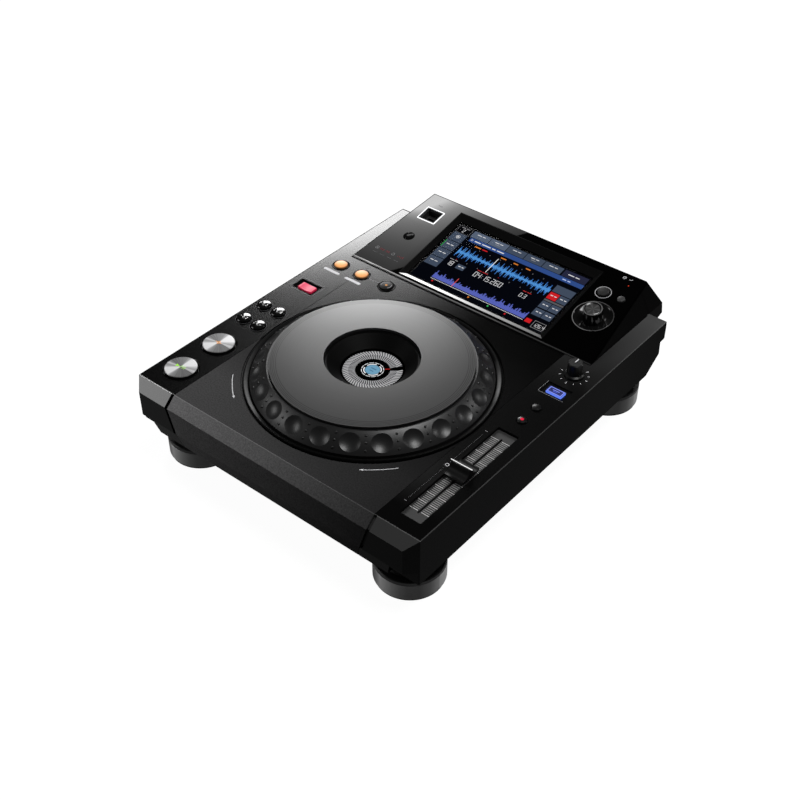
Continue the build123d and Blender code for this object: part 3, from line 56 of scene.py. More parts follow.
# Name, azimuth from the rear round over the left, elevation, distance, width, height, radiance
softboxes = (
    ("overhead", 290, 72, 2.2, 1.0, 1.0, 11.0),
    ("rear_left_strip", 42, 21.5, 3.0, 0.78, 0.95, 17.5),
    ("right_rear_strip", 327, 25, 2.6, 0.45, 0.5, 8.0),
    ("front_left_card", 124, 29, 2.6, 1.2, 0.7, 4.6),
)

# Deck
front_chamfer_run = 9.6
deck_rear = 349.6
half_width = 152.5
deck_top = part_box("centre_cover")[1].z
deck_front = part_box("centre_cover")[0].y + front_chamfer_run * mm
seam_middle = 110.3
seam_top_drop = 8.9
seam_foot = -33.0
seam_slope = 0.311
print_rise = 0.05
print_depth = 0.09

# Tilted panel
panel_front = 252.65
panel_lip = 0.4
panel_tilt = math.atan2(22.91, 109.09)
panel_length = 111.5
panel_front_half = 134.1
panel_narrows = 0.1157
screen_x = 1.1
screen_v = 50.85
screen_depth = 3.6
picture_width = 148.0
picture_height = 80.0
picture_rise = 0.1
picture_depth = 0.05
picture_layer = 0.01
wave_bars = 128
overview_bars = 110
overview_dots = 64

# Jog wheel
jog_y = 125.0
ring_edge_radius = 103.5
ring_edge_height = 1.0
ring_crest_radius = 88.6
ring_crest_height = 14.2
ring_bulge = 0.9
dent_count = 24
display_face = 5.1
bezel_bright_radius = 106.6

# Controls
play_x = -130.6
play_y = 27.8
cue_y = 72.0
play_top = 2.15
loop_y = 232.4
loop_in_x = -131.4
loop_out_x = -105.5
loop_radius = 6.5
loop_top = 1.85
reloop_x = -75.4
search_left = -140.9
search_right = -123.4
track_y = 138.4
search_y = 112.8
dome_radius = 6.2
dome_top = 2.7
dome_crown = 0.8
lever_slot = (-144.3, -119.5, 178.2, 193.6)
right_column_x = 131.5
fader_y = 76.0
fader_scale_length = 102.0
fader_lines = 51
fader_plate_top = -2.0
fader_ridge_top = 9.2
master_tempo_y = 156.4
master_tempo_top = 1.8
jog_mode_x = 132.2
jog_mode_y = 203.8
jog_mode_top = 0.9
jog_mode_recess = (119.6, 143.4, 197.4, 212.8)
speed_y = 232.4
speed_top = 14.5
selector_x = 104.5
selector_v = 50.0
selector_radius = 8.9
selector_top = 9.7
dish_radius = 18.6
back_x = 96.0
back_v = 79.7
usb_x = -104.1
usb_v = 83.6
usb_half_width = 10.5
usb_half_height = 9.3


def at(x, y, z=0.0, turn=0.0):
    """A place on a plane, turned about the plane's upright by some degrees."""
    return Matrix.Translation((x, y, z)) @ Matrix.Rotation(math.radians(turn), 4, "Z")


to_metres = Matrix.Diagonal((mm, mm, mm, 1.0))
deck_plane = Matrix.Translation((0, deck_front, deck_top)) @ to_metres
panel_plane = deck_plane @ at(0, panel_front, panel_lip) @ Matrix.Rotation(panel_tilt, 4, "X")
jog_plane = deck_plane @ at(0, jog_y)
selector_plane = panel_plane @ at(selector_x, selector_v)


def colour_of(value):
    """A colour, from a colour or from a grey."""
    return tuple(value) if hasattr(value, "__len__") else (value, value, value)


# Camera and studio

def show(thing):
    """Puts an object in the scene."""
    bpy.context.scene.collection.objects.link(thing)


def make_camera():
    """The camera at the photograph's angle."""
    sensor = bpy.data.cameras.new("camera")
    sensor.lens = camera_lens
    sensor.sensor_width = camera_sensor
    sensor.clip_start = 0.01
    camera = bpy.data.objects.new("camera", sensor)
    camera.location = camera_place
    camera.rotation_euler = (math.pi / 2 - camera_elevation, 0, camera_azimuth)
    show(camera)
    bpy.context.scene.camera = camera


def make_lamp(name, place, width, height, radiance):
    """A flat lamp of one radiance, which shines down its own z axis."""
    lamp = bpy.data.lights.new(name, "AREA")
    lamp.shape = "RECTANGLE"
    lamp.size = width
    lamp.size_y = height
    lamp.energy = radiance * math.pi * width * height
    box = bpy.data.objects.new(name, lamp)
    box.matrix_world = place
    show(box)


def make_softbox(name, azimuth, elevation, distance, *light):
    """A lamp that faces the player from a direction given in degrees."""
    side = math.radians(azimuth)
    rise = math.radians(elevation)
    toward = Vector((-math.sin(side) * math.cos(rise), math.cos(side) * math.cos(rise), math.sin(rise)))
    middle = deck_plane @ Vector((0, deck_rear / 2, 0))
    place = Matrix.Translation(middle + toward * distance)
    make_lamp(name, place @ toward.to_track_quat("Z", "Y").to_matrix().to_4x4(), *light)


def make_room():
    """A dim room that looks as pale as the floor to the camera."""
    room = bpy.data.worlds.new("room")
    bpy.context.scene.world = room
    room.use_nodes = True
    tree = room.node_tree
    sky = tree.nodes["Background"]
    sky.inputs["Color"].default_value = (1, 1, 1, 1)
    shown = tree.nodes.new("ShaderNodeMath")
    shown.operation = "MULTIPLY_ADD"
    shown.inputs[1].default_value = paper_white - room_light
    shown.inputs[2].default_value = room_light
    path = tree.nodes.new("ShaderNodeLightPath")
    tree.links.new(path.outputs["Is Camera Ray"], shown.inputs[0])
    tree.links.new(shown.outputs[0], sky.inputs["Strength"])


def make_studio():
    """The pale floor, the room and the lamps."""
    make_room()
    sheet = bmesh.new()
    bmesh.ops.create_grid(sheet, x_segments=2, y_segments=2, size=floor_size)
    mesh = bpy.data.meshes.new("floor")
    sheet.to_mesh(mesh)
    sheet.free()
    floor = bpy.data.objects.new("floor", mesh)
    show(floor)
    floor.location.z = -0.0002
    mesh.materials.append(floor_paper())
    for softbox in softboxes:
        make_softbox(*softbox)
    make_lamp("panel_card", at(-1.12, 1.02, 1.6, -45), 0.283, 0.56, 2.2)


# Shader maths

class Signal:
    """A number or colour that varies over a surface, for sums in a finish."""

    def __init__(self, finish, socket):
        self.finish = finish
        self.socket = socket

    def __add__(self, other):
        return self.finish.maths("ADD", self, other)

    __radd__ = __add__

    def __sub__(self, other):
        return self.finish.maths("SUBTRACT", self, other)

    def __rsub__(self, other):
        return self.finish.maths("SUBTRACT", other, self)

    def __mul__(self, other):
        return self.finish.maths("MULTIPLY", self, other)

    __rmul__ = __mul__

    def __truediv__(self, other):
        return self.finish.maths("DIVIDE", self, other)

    def __pow__(self, other):
        return self.finish.maths("POWER", self, other)

    def __abs__(self):
        return self.finish.maths("ABSOLUTE", self)

    def __gt__(self, other):
        return self.finish.maths("GREATER_THAN", self, other)

    def __lt__(self, other):
        return self.finish.maths("LESS_THAN", self, other)


class Finish:
    """A material of the player, made from nodes."""

    def __init__(self, name, **sockets):
        self.material = bpy.data.materials.new(name)
        self.material.use_nodes = True
        self.tree = self.material.node_tree
        self.shader = self.tree.nodes["Principled BSDF"]
        self.set(**sockets)

    def set(self, **sockets):
        """Sets or feeds sockets of the shader, named with underscores."""
        for name, value in sockets.items():
            self.feed(self.shader.inputs[name.replace("_", " ")], value)
        return self.material

    def feed(self, socket, value):
        """Links a signal to a socket, or sets the socket to a value."""
        if isinstance(value, Signal):
            self.tree.links.new(value.socket, socket)
        elif socket.type == "RGBA":
            socket.default_value = (*colour_of(value), 1.0)
        else:
            socket.default_value = value

    def node(self, kind, settings=None, sockets=None, out=0):
        """Adds a node with its settings and its sockets, and gives one output."""
        made = self.tree.nodes.new(kind)
        for name, value in (settings or {}).items():
            setattr(made, name, value)
        for name, value in (sockets or {}).items():
            self.feed(made.inputs[name], value)
        return Signal(self, made.outputs[out])

    def maths(self, operation, *terms):
        """Adds a Math node for an operation on numbers."""
        return self.node("ShaderNodeMath", {"operation": operation}, dict(enumerate(terms)))

    def place(self, plane=deck_plane):
        """Where a point of the surface lies on a plane, in millimetres."""
        inverse = plane.inverted()
        mapping = {
            "Vector": self.node("ShaderNodeTexCoord", out="Object"),
            "Location": inverse.to_translation(),
            "Rotation": inverse.to_euler(),
            "Scale": (1 / mm, 1 / mm, 1 / mm),
        }
        return self.node("ShaderNodeMapping", sockets=mapping)

    def split(self, point):
        """The x, y and z of a point."""
        parts = self.node("ShaderNodeSeparateXYZ", sockets={0: point}).socket.node
        return [Signal(self, output) for output in parts.outputs]

    def join(self, *parts):
        """A point from its x, y and z."""
        return self.node("ShaderNodeCombineXYZ", sockets=dict(enumerate(parts)))

    def facing(self):
        """The x, y and z of the way that the surface faces."""
        return self.split(self.node("ShaderNodeNewGeometry", out="Normal"))

    def polar(self, plane):
        """The radius in millimetres, the angle from 0 to 1 and the height over a plane."""
        x, y, z = self.split(self.place(plane))
        return (x * x + y * y) ** 0.5, self.maths("ARCTAN2", y, x) / (2 * math.pi) + 0.5, z

    def noise(self, size, point=None, detail=2.0, rough=0.5):
        """Noise between 0 and 1, whose grains have a size in millimetres."""
        point = point or self.place()
        sockets = {"Vector": point, "Scale": 1.0 / size, "Detail": detail, "Roughness": rough}
        return self.node("ShaderNodeTexNoise", sockets=sockets)

    def ramp(self, signal, *stops):
        """A ramp over a signal from 0 to 1, by stops that are each a place and a grey."""
        made = self.node("ShaderNodeValToRGB", sockets={"Fac": signal})
        elements = made.socket.node.color_ramp.elements
        while len(elements) < len(stops):
            elements.new(0.5)
        for element, (place, grey_level) in zip(elements, stops):
            element.position = place
            element.color = (*colour_of(grey_level), 1.0)
        return made

    def mix(self, factor, first=0.0, second=1.0):
        """A colour between two colours, which are black and white unless they are given."""
        sockets = {0: factor, 6: first, 7: second}
        return self.node("ShaderNodeMix", {"data_type": "RGBA"}, sockets, out=2)

    def limit(self, signal):
        """A signal held between 0 and 1."""
        return self.node("ShaderNodeClamp", sockets={"Value": signal})

    def rise(self, signal, start, end):
        """A straight rise from 0 where a signal has one value to 1 where it has another."""
        return self.limit((signal - start) / (end - start))

    def band(self, signal, middle, half, soft):
        """1 within a band around a value, falling to 0 over a soft edge."""
        return self.limit((half + soft - abs(signal - middle)) / soft)

    def grain(self, height, strength, distance=0.1):
        """Raises the surface by a height signal; the distance is in millimetres."""
        sockets = {"Height": height, "Strength": strength, "Distance": distance * mm}
        self.set(Normal=self.node("ShaderNodeBump", sockets=sockets))


# Finishes

def floor_paper():
    """Pale paper that keeps a soft shadow and looks white to the camera and in reflections."""
    paper = Finish("floor_paper", Base_Color=0.12, Roughness=0.9, Specular_IOR_Level=0.0)
    path = paper.node("ShaderNodeLightPath").socket.node.outputs
    camera, clear, gloss = (
        Signal(paper, path[name]) for name in ("Is Camera Ray", "Is Transmission Ray", "Is Glossy Ray")
    )
    shown = paper.limit(camera + clear + 0.25 * gloss)
    return paper.set(Emission_Color=paper.mix(shown, 0.0, paper_white), Emission_Strength=1.0)


def clouded(name, size, low, high, rough, spread=0.1, bump=None, **sockets):
    """A finish whose tone and gloss vary with a fine cloud, which may also raise the surface."""
    finish = Finish(name, **sockets)
    cloud = finish.noise(size)
    if bump:
        finish.grain(cloud, *bump)
    gloss = rough + spread * cloud if spread else rough
    return finish.set(Base_Color=finish.mix(cloud, low, high), Roughness=gloss)


def black_plastic(name, tone, rough, size=0.8, level=0.35, strength=0.12):
    """Moulded plastic with a fine grain."""
    bump = (strength, 0.05)
    return clouded(name, size, 0.6 * tone, 1.5 * tone, rough - 0.06, 0.14, bump, Specular_IOR_Level=level)


def metal(name, tone, rough, tint=(1.0, 1.0, 1.0)):
    """Satin metal with a fine cloudy grain."""
    low, high = (tuple(share * tone * part for part in tint) for share in (0.88, 1.1))
    return clouded(name, 0.5, low, high, rough - 0.04, 0.09, (0.08, 0.02), Metallic=1.0)


def clear_glass(name):
    """Clear glass over a lit picture, with a faint smear."""
    return clouded(name, 40.0, 0.97, 1.0, 0.0, 0.0, Transmission_Weight=1.0, IOR=1.06)


def ring_plastic():
    """Satin plastic of the dented ring and its dots."""
    high = (0.015, 0.015, 0.0153)
    return clouded("ring_plastic", 0.5, 0.009, high, 0.3, 0.1, (0.1, 0.04), Specular_IOR_Level=0.45)


def painted_edge_highlight(finish, y, z):
    """A painted highlight along the front edge of the deck, broken up by noise, from 0 to 1."""
    line = finish.band(y, 0.05, 0.25, 0.16) * (z > -0.6)
    crumbs = finish.noise(0.9, detail=1.0)
    return line * finish.limit((crumbs - 0.3) * 4.0)


def seam_shadow(finish, x, y, z):
    """Painted shade in the groove that parts the covers at the front: 1 in the groove, fainter at the right,
    else 0.
    """
    below = finish.maths("MAXIMUM", -seam_top_drop - z, 0.0)
    across = finish.band(abs(x) + seam_slope * below, seam_middle, 1.45, 0.15)
    return across * (y < 0.2) * (z > seam_foot) * (1.0 - 0.7 * (x > 0.0))


def panel_gap(finish, x, y):
    """1 in the dark line before the front edge of the screen panel, else 0."""
    return finish.band(y, panel_front - 1.9, 0.8, 0.5) * (abs(x) < panel_front_half)


def cover_grain():
    """Fine matte grain of the middle cover, darker and smoother behind the jog wheel. Its colour holds
    painted light: lighter at the left and the front, with painted highlights on the front chamfer and along
    the front edge.
    """
    finish = Finish("cover_grain", Specular_IOR_Level=0.0, Coat_Roughness=0.14)
    x, y, z = finish.split(finish.place())
    fine = finish.noise(1.25, rough=0.75)
    broad = finish.noise(26.0)
    # Painted light: the cover is lighter at the left and at the front.
    left = finish.ramp(
        finish.rise(x, -half_width, half_width), (0.0, 1.0), (0.5, 0.64), (0.85, 0.28), (1.0, 0.2)
    )
    front = finish.ramp(
        finish.rise(y, -10.0, 250.0),
        (0.0, 1.0), (0.2, 1.0), (0.35, 0.55), (0.77, 0.16), (0.9, 0.04), (1.0, 0.02),
    )
    # Painted highlight on the front chamfer, strongest at the left, and along the front edge.
    chamfer_highlight = finish.rise(y, 0.2, -0.05)
    tone = 0.06 * left * front * (0.25 + 1.5 * fine + 0.1 * broad)
    tone = tone * (1.0 + chamfer_highlight * (1.0 + 1.9 * left * left))
    tone = tone + 0.12 * painted_edge_highlight(finish, y, z) * (0.15 + 0.85 * left)
    behind_wheel = finish.ramp(
        finish.rise(x, -60.0, 120.0),
        (0.0, 1.0), (0.08, 0.9), (0.17, 0.66), (0.25, 0.48), (0.33, 0.33), (0.42, 0.18), (0.5, 0.12),
        (1.0, 0.3),
    )
    coat = behind_wheel * finish.rise(y, 60.0, 180.0) * (1.0 - panel_gap(finish, x, y))
    finish.grain(fine * finish.rise(y, 150.0, 40.0), 0.25, 0.06)
    return finish.set(
        Base_Color=finish.mix(tone, 0.001, (1.0, 0.99, 1.0)), Roughness=0.5 + 0.2 * fine, Coat_Weight=coat
    )


def side_gloss(name, tone, rough, coat, painted_side_light, chamfer_highlight=0.0, edge_highlight=0.7, rear=0.0):
    """Gloss or satin paint of a side cover, which may be duller in front and paler at the rear. Its colour
    holds painted light: lighter upright sides, painted highlights on the front chamfer, the front edge and
    the right edge, painted shade in the groove, and a paler rear as a painted reflection.
    """
    finish = Finish(name, Specular_IOR_Level=0.0, Coat_Roughness=rough)
    x, y, z = finish.split(finish.place())
    fine = finish.noise(0.9)
    # Painted shade in the groove between the covers darkens the colour and dulls the gloss.
    seam_shade = seam_shadow(finish, x, y, z)
    up = finish.rise(finish.facing()[2], 0.5, 0.75)
    slope = finish.rise(y, 0.2, -0.05) * up
    rim_highlight = finish.band(x, half_width - 0.1, 0.35, 0.2) * (z > -0.8)
    # Painted light: the upright sides are lighter, with painted highlights on the front chamfer, the front
    # edge and the right edge.
    shade = tone * (0.75 + 0.5 * fine) * (1.0 + painted_side_light * (1.0 - up)) + chamfer_highlight * slope
    shade = shade + edge_highlight * painted_edge_highlight(finish, y, z) + 0.06 * rim_highlight
    # Painted reflection: the top grows paler towards the rear.
    if rear:
        shade = shade + rear * up * finish.rise(y, 180.0, 340.0) ** 2.0
        coat = coat * (1.0 - up * finish.rise(y, 110.0, 20.0))
    outline = finish.band(x, -half_width, 1.1, 0.3) + finish.band(y, deck_rear, 1.1, 0.3)
    dull = finish.limit(seam_shade + outline + panel_gap(finish, x, y))
    coat = coat * (0.25 + 0.75 * up) * (1.0 - dull) * (1.0 - 0.3 * finish.rise(y, 262.0, 337.0))
    return finish.set(
        Base_Color=finish.mix(shade * (1.0 - seam_shade)), Roughness=rough + 0.2 + 0.1 * fine, Coat_Weight=coat
    )


def panel_gloss():
    """Deep black acrylic of the screen panel, whose gloss falls off from its rear left corner, with a
    painted highlight along its front lip.
    """
    finish = Finish("panel_gloss", Specular_IOR_Level=0.0, Coat_IOR=3.0, Coat_Roughness=0.012, Roughness=0.3)
    point = finish.place(panel_plane)
    x, v, _ = finish.split(point)
    # Painted highlight along the front lip, brightest at the left.
    lip_highlight = finish.ramp(
        finish.rise(x, -134.0, 134.0),
        (0.0, 0.32), (0.07, 0.7), (0.13, 0.45), (0.24, 0.45), (0.31, 0.33), (0.43, 0.18), (0.54, 0.15),
        (0.69, 0.06), (0.84, 0.035), (1.0, 0.02),
    )
    tone = 0.0006 + 0.0006 * finish.noise(60.0, point) + lip_highlight * finish.band(v, 0.5, 0.5, 0.3)
    bend = -90.0
    fall = 39.0
    corner = finish.limit(v / 140.0) + finish.rise(v, 68.0, 88.0)
    away = (finish.maths("MAXIMUM", x, bend) + 118.0) / fall + (107.5 - v) / 52.0
    away = away + finish.maths("MINIMUM", x - bend, 0.0) / fall * corner
    inward = finish.maths("MINIMUM", panel_front_half - panel_narrows * v - abs(x), panel_length - v)
    gloss = finish.limit(finish.maths("EXPONENT", away * -1.0)) * finish.limit((inward - 0.6) * 3.0)
    return finish.set(Base_Color=finish.mix(tone), Coat_Weight=gloss)


def platter_metal():
    """Satin anodised plate with fine turning lines and a few grooved rings at its rim, darkened with painted
    shade.
    """
    finish = Finish("platter_metal", Metallic=0.85)
    radius, angle, _ = finish.polar(jog_plane)
    lines = finish.noise(0.35, finish.join(radius, angle * 3.0), 3.0, 0.7)
    rings = finish.band(radius, 80.6, 0.16, 0.12)
    for place in (82.2, 83.6, 84.9):
        rings = rings + finish.band(radius, place, 0.14, 0.12)
    # The rings are darkened as painted shade in their grooves.
    tone = (0.052 + 0.02 * lines) * (1.0 - 0.7 * finish.limit(rings))
    finish.grain(lines - 2.0 * rings, 0.06, 0.03)
    return finish.set(Base_Color=finish.mix(tone), Roughness=0.36 + 0.06 * lines)


def spun_steel(name, y):
    """Steel turned on a lathe, whose bright and dark sectors that run to the middle are a painted
    reflection.
    """
    finish = Finish(name, Metallic=0.1)
    radius, angle, z = finish.polar(deck_plane @ at(play_x, y))
    streaks = finish.noise(1.0, finish.join(angle * 60.0))
    # Painted reflection: bright and dark sectors with streaks, as turned steel reflects the lamps.
    spun_reflection = finish.ramp(
        finish.maths("FRACT", angle + 0.5) + 0.03,
        (0.0, 0.1), (0.06, 0.55), (0.09, 0.28), (0.12, 0.45), (0.16, 0.8), (0.22, 0.82), (0.28, 0.78),
        (0.31, 0.3), (0.34, 0.17), (0.41, 0.14), (0.5, 0.1), (0.53, 0.18), (0.56, 0.62), (0.59, 0.28),
        (0.62, 0.4), (0.65, 0.8), (0.71, 0.82), (0.76, 0.78), (0.79, 0.3), (0.84, 0.15), (0.93, 0.1),
    )
    lines = finish.noise(0.3, finish.join(radius))
    top = finish.rise(z, play_top - 0.75, play_top - 0.625)
    tone = top * finish.limit((spun_reflection + 0.25 * (streaks - 0.5)) * (0.8 + 0.3 * lines))
    finish.grain(lines, 0.05, 0.02)
    return finish.set(Base_Color=finish.mix(tone, 0.004, (0.97, 0.97, 0.98)), Roughness=0.3 + 0.1 * lines)


def knob_gloss():
    """Black gloss knob whose flat top is turned and shows sectors of painted reflection, with a painted
    highlight on its rim.
    """
    finish = Finish("knob_gloss")
    radius, angle, z = finish.polar(selector_plane)
    sector_reflection = finish.limit(finish.maths("SINE", angle * (6 * 2 * math.pi)))
    top = finish.rise(z, selector_top - 1.1, selector_top - 0.85)
    top = top * finish.limit((selector_radius - 2.2 - radius) * 6.0)
    rim_highlight = finish.rise(z, selector_top - 0.8, selector_top - 0.6)
    rim_highlight = rim_highlight * finish.band(radius, selector_radius - 0.75, 0.3, 0.25)
    # Painted reflection in sectors on the top and a painted highlight on the rim.
    tone = 0.006 + top * (0.03 + 0.05 * sector_reflection) + 0.5 * rim_highlight
    shine = 0.8 * finish.limit(rim_highlight + top * 0.6)
    return finish.set(Base_Color=finish.mix(tone), Roughness=0.14 + 0.2 * top, Metallic=shine)


def dish_gloss():
    """Black gloss dish with a painted highlight on its rim, brightest towards one side."""
    finish = Finish("dish_gloss")
    radius, angle, _ = finish.polar(selector_plane)
    rim_highlight = finish.band(radius, dish_radius - 0.45, 0.22, 0.2)
    # The rim's painted highlight fades round the dish by angle.
    glow = finish.limit(finish.maths("COSINE", (angle - 0.1) * (2 * math.pi)) * 0.5 + 0.5)
    tone = 0.004 + 0.4 * rim_highlight * (0.25 + 0.75 * glow)
    return finish.set(Base_Color=finish.mix(tone), Roughness=0.12 + 0.1 * rim_highlight, Metallic=0.7 * rim_highlight)


def amber_plastic(name, x):
    """Translucent amber plastic of a loop button lit from below, brightest in the middle."""
    finish = Finish(name, Specular_IOR_Level=0.2, Emission_Strength=0.9)
    radius = finish.polar(deck_plane @ at(x, loop_y))[0]
    cloud = finish.noise(2.5)
    middle = 0.45 + 0.55 * finish.limit(1.3 - radius / loop_radius)
    middle = middle * finish.limit((loop_radius - radius) * 0.9)
    shade = finish.limit(middle * (0.75 + 0.4 * cloud))
    finish.set(Emission_Color=finish.mix(shade, 0.0, (1.0, 0.40, 0.09)))
    body = finish.mix(cloud, (0.25, 0.1, 0.03), (0.2125, 0.085, 0.0255))
    return finish.set(Base_Color=body, Roughness=0.25 + 0.1 * cloud)


def lever_plastic():
    """Lit red plastic of the lever's grip; what lies under the deck is black."""
    finish = Finish("lever_red", Specular_IOR_Level=0.25, Emission_Strength=0.75)
    _, y, z = finish.split(finish.place())
    cloud = finish.noise(3.0)
    grip = finish.rise(z, -0.5, -0.3)
    up = finish.limit((finish.facing()[2] - 0.9) * 9.0)
    rear = finish.rise(y, lever_slot[2] + 1.0, lever_slot[2] + 10.0)
    glow = finish.mix(rear * 0.6 + 0.4 * cloud, (0.50, 0.015, 0.06), (0.85, 0.09, 0.19))
    edge = finish.mix(up, (0.30, 0.006, 0.03), glow)
    finish.set(Emission_Color=finish.mix(grip, 0.0, edge), Roughness=0.25 + 0.1 * cloud)
    return finish.set(Base_Color=finish.mix(grip, 0.003, (0.35, 0.02, 0.05)))


def violet_plastic():
    """Clear plastic of the jog mode key, lit blue from within."""
    finish = Finish("key_violet", Emission_Strength=0.9)
    cloud = finish.noise(2.5)
    up = finish.limit((finish.facing()[2] - 0.8) * 9.0)
    above = finish.rise(finish.split(finish.place())[2], -1.2, -0.95)
    glow = finish.mix(up, (0.13, 0.24, 1.0), (0.010, 0.014, 0.10))
    finish.set(Emission_Color=finish.mix(above, 0.0, glow), Roughness=0.2 + 0.1 * cloud)
    return finish.set(Base_Color=finish.mix(cloud, (0.005, 0.006, 0.03), (0.01, 0.012, 0.05)))


def usb_light():
    """Frame of the memory stick's socket: a lit line round a dark sloped inside."""
    finish = Finish("usb_light", Specular_IOR_Level=0.3, Emission_Strength=1.0)
    x, v, height = finish.split(finish.place(panel_plane @ at(usb_x, usb_v)))
    across = finish.maths("MAXIMUM", abs(x) - usb_half_width, abs(v) - usb_half_height)
    line = finish.rise(across, -1.15, -0.95) * finish.rise(height, -0.6, -0.35)
    cloud = finish.noise(4.0, finish.place(panel_plane))
    finish.set(Base_Color=finish.mix(line, (0.06, 0.063, 0.068), (0.7, 0.72, 0.74)))
    return finish.set(Emission_Color=finish.mix(line * (0.6 + 0.4 * cloud)), Roughness=0.3 + 0.1 * cloud)


def printed_ink():
    """Printed marks in the colours of the mesh."""
    finish = Finish("printed_ink", Specular_IOR_Level=0.1)
    colour = finish.node("ShaderNodeAttribute", {"attribute_name": "ink"}, out="Color")
    wear = finish.noise(0.7)
    return finish.set(Base_Color=finish.mix(0.15 * wear, colour, 0.02), Roughness=0.5 + 0.2 * wear)


def lit_picture():
    """A lit picture in the colours of the mesh."""
    finish = Finish("lit_picture", Base_Color=0.0, Specular_IOR_Level=0.0, Emission_Strength=1.0)
    colour = finish.node("ShaderNodeAttribute", {"attribute_name": "ink"}, out="Color")
    dots = finish.noise(0.5, finish.place(panel_plane), 1.0)
    return finish.set(Emission_Color=finish.mix(0.12 * dots, colour, 0.0), Roughness=0.4 + 0.2 * dots)


def frame_bevel():
    """Bevelled frame round the screen: its front bevel carries a painted highlight, bright at the left, in
    both its colour and its glow.
    """
    finish = Finish("frame_bevel", Specular_IOR_Level=0.1, Emission_Strength=0.4)
    point = finish.place(panel_plane)
    x, v, _ = finish.split(point)
    rearward = finish.limit((finish.facing()[1] - 0.12) * 8.0)
    strip = finish.rise(v, 9.2, 8.7) * rearward
    # Painted highlight on the front bevel, fading from the left to the right.
    light = finish.ramp(
        finish.rise(x, -82.0, 82.0), (0.0, 1.0), (0.25, 0.95), (0.45, 0.6), (0.65, 0.3), (1.0, 0.09)
    )
    smear = finish.noise(9.0, point)
    tone = 0.004 + strip * light * (0.85 + 0.3 * smear)
    finish.set(Base_Color=finish.mix(tone), Roughness=0.1 + 0.2 * strip + 0.03 * smear)
    return finish.set(Emission_Color=finish.mix(strip * light))


def band_metal():
    """Brushed band round a foot, with two soft painted highlights that follow the way a point faces."""
    finish = Finish("band_metal", Metallic=0.9, Specular_IOR_Level=0.3)
    z = finish.split(finish.place())[2]
    east, north, _ = finish.facing()
    turn = finish.maths("ARCTAN2", north, east) / (2 * math.pi) + 0.5
    # Painted highlights by the way the band faces.
    light = finish.ramp(
        turn, (0.0, 0.1), (0.117, 0.15), (0.15, 0.12), (0.183, 0.35), (0.217, 0.78), (0.25, 0.55),
        (0.283, 0.33), (0.317, 0.19), (0.35, 0.12), (0.4, 0.1), (0.45, 0.19), (0.483, 0.38),
        (0.52, 0.75), (0.56, 0.9), (0.7, 0.3), (1.0, 0.1),
    )
    lines = finish.noise(0.3, finish.join(z, turn * 4.0))
    finish.grain(lines, 0.06, 0.03)
    tone = 0.8 * light * (0.85 + 0.3 * lines)
    return finish.set(Base_Color=finish.mix(tone, 0.01), Roughness=0.4 + 0.12 * lines)


def bezel_metal():
    """Dark ring round the jog wheel with a soft glint at its left and its right."""
    finish = Finish("bezel_metal", Specular_IOR_Level=0.03)
    radius, angle, _ = finish.polar(jog_plane)
    glint = finish.ramp(
        angle, (0.0, 0.02), (0.05, 0.06), (0.1, 0.25), (0.15, 0.75), (0.175, 0.9), (0.2, 0.1), (0.22, 0.01),
        (0.47, 0.01), (0.5, 0.1), (0.55, 0.16), (0.575, 1.0), (0.595, 0.9), (0.62, 0.25), (0.64, 0.01),
        (1.0, 0.02),
    )
    inside = finish.band(radius, bezel_bright_radius, 0.9, 1.1)
    fine = finish.noise(2.0)
    tone = 0.002 + 0.16 * glint * inside * (0.8 + 0.4 * fine)
    return finish.set(Base_Color=finish.mix(tone), Roughness=0.34 + 0.06 * fine)


def board_mask():
    """Green solder mask with lighter tracks."""
    finish = Finish("board_mask")
    cloud = finish.noise(3.0, detail=4.0)
    tracks = finish.ramp(cloud, (0.45, 0.0), (0.5, 1.0), (0.56, 0.0))
    finish.set(Base_Color=finish.mix(tracks, (0.01, 0.09, 0.04), (0.03, 0.16, 0.08)))
    return finish.set(Roughness=0.35 + 0.1 * tracks)


# Flat marks and small pieces

bright = 1.0
white = (0.78, 0.78, 0.8)
grey = (0.3, 0.3, 0.31)
dim = (0.1, 0.1, 0.105)


def around(radius, degrees):
    """The point at a radius and an angle round a middle."""
    angle = math.radians(degrees)
    return radius * math.cos(angle), radius * math.sin(angle)


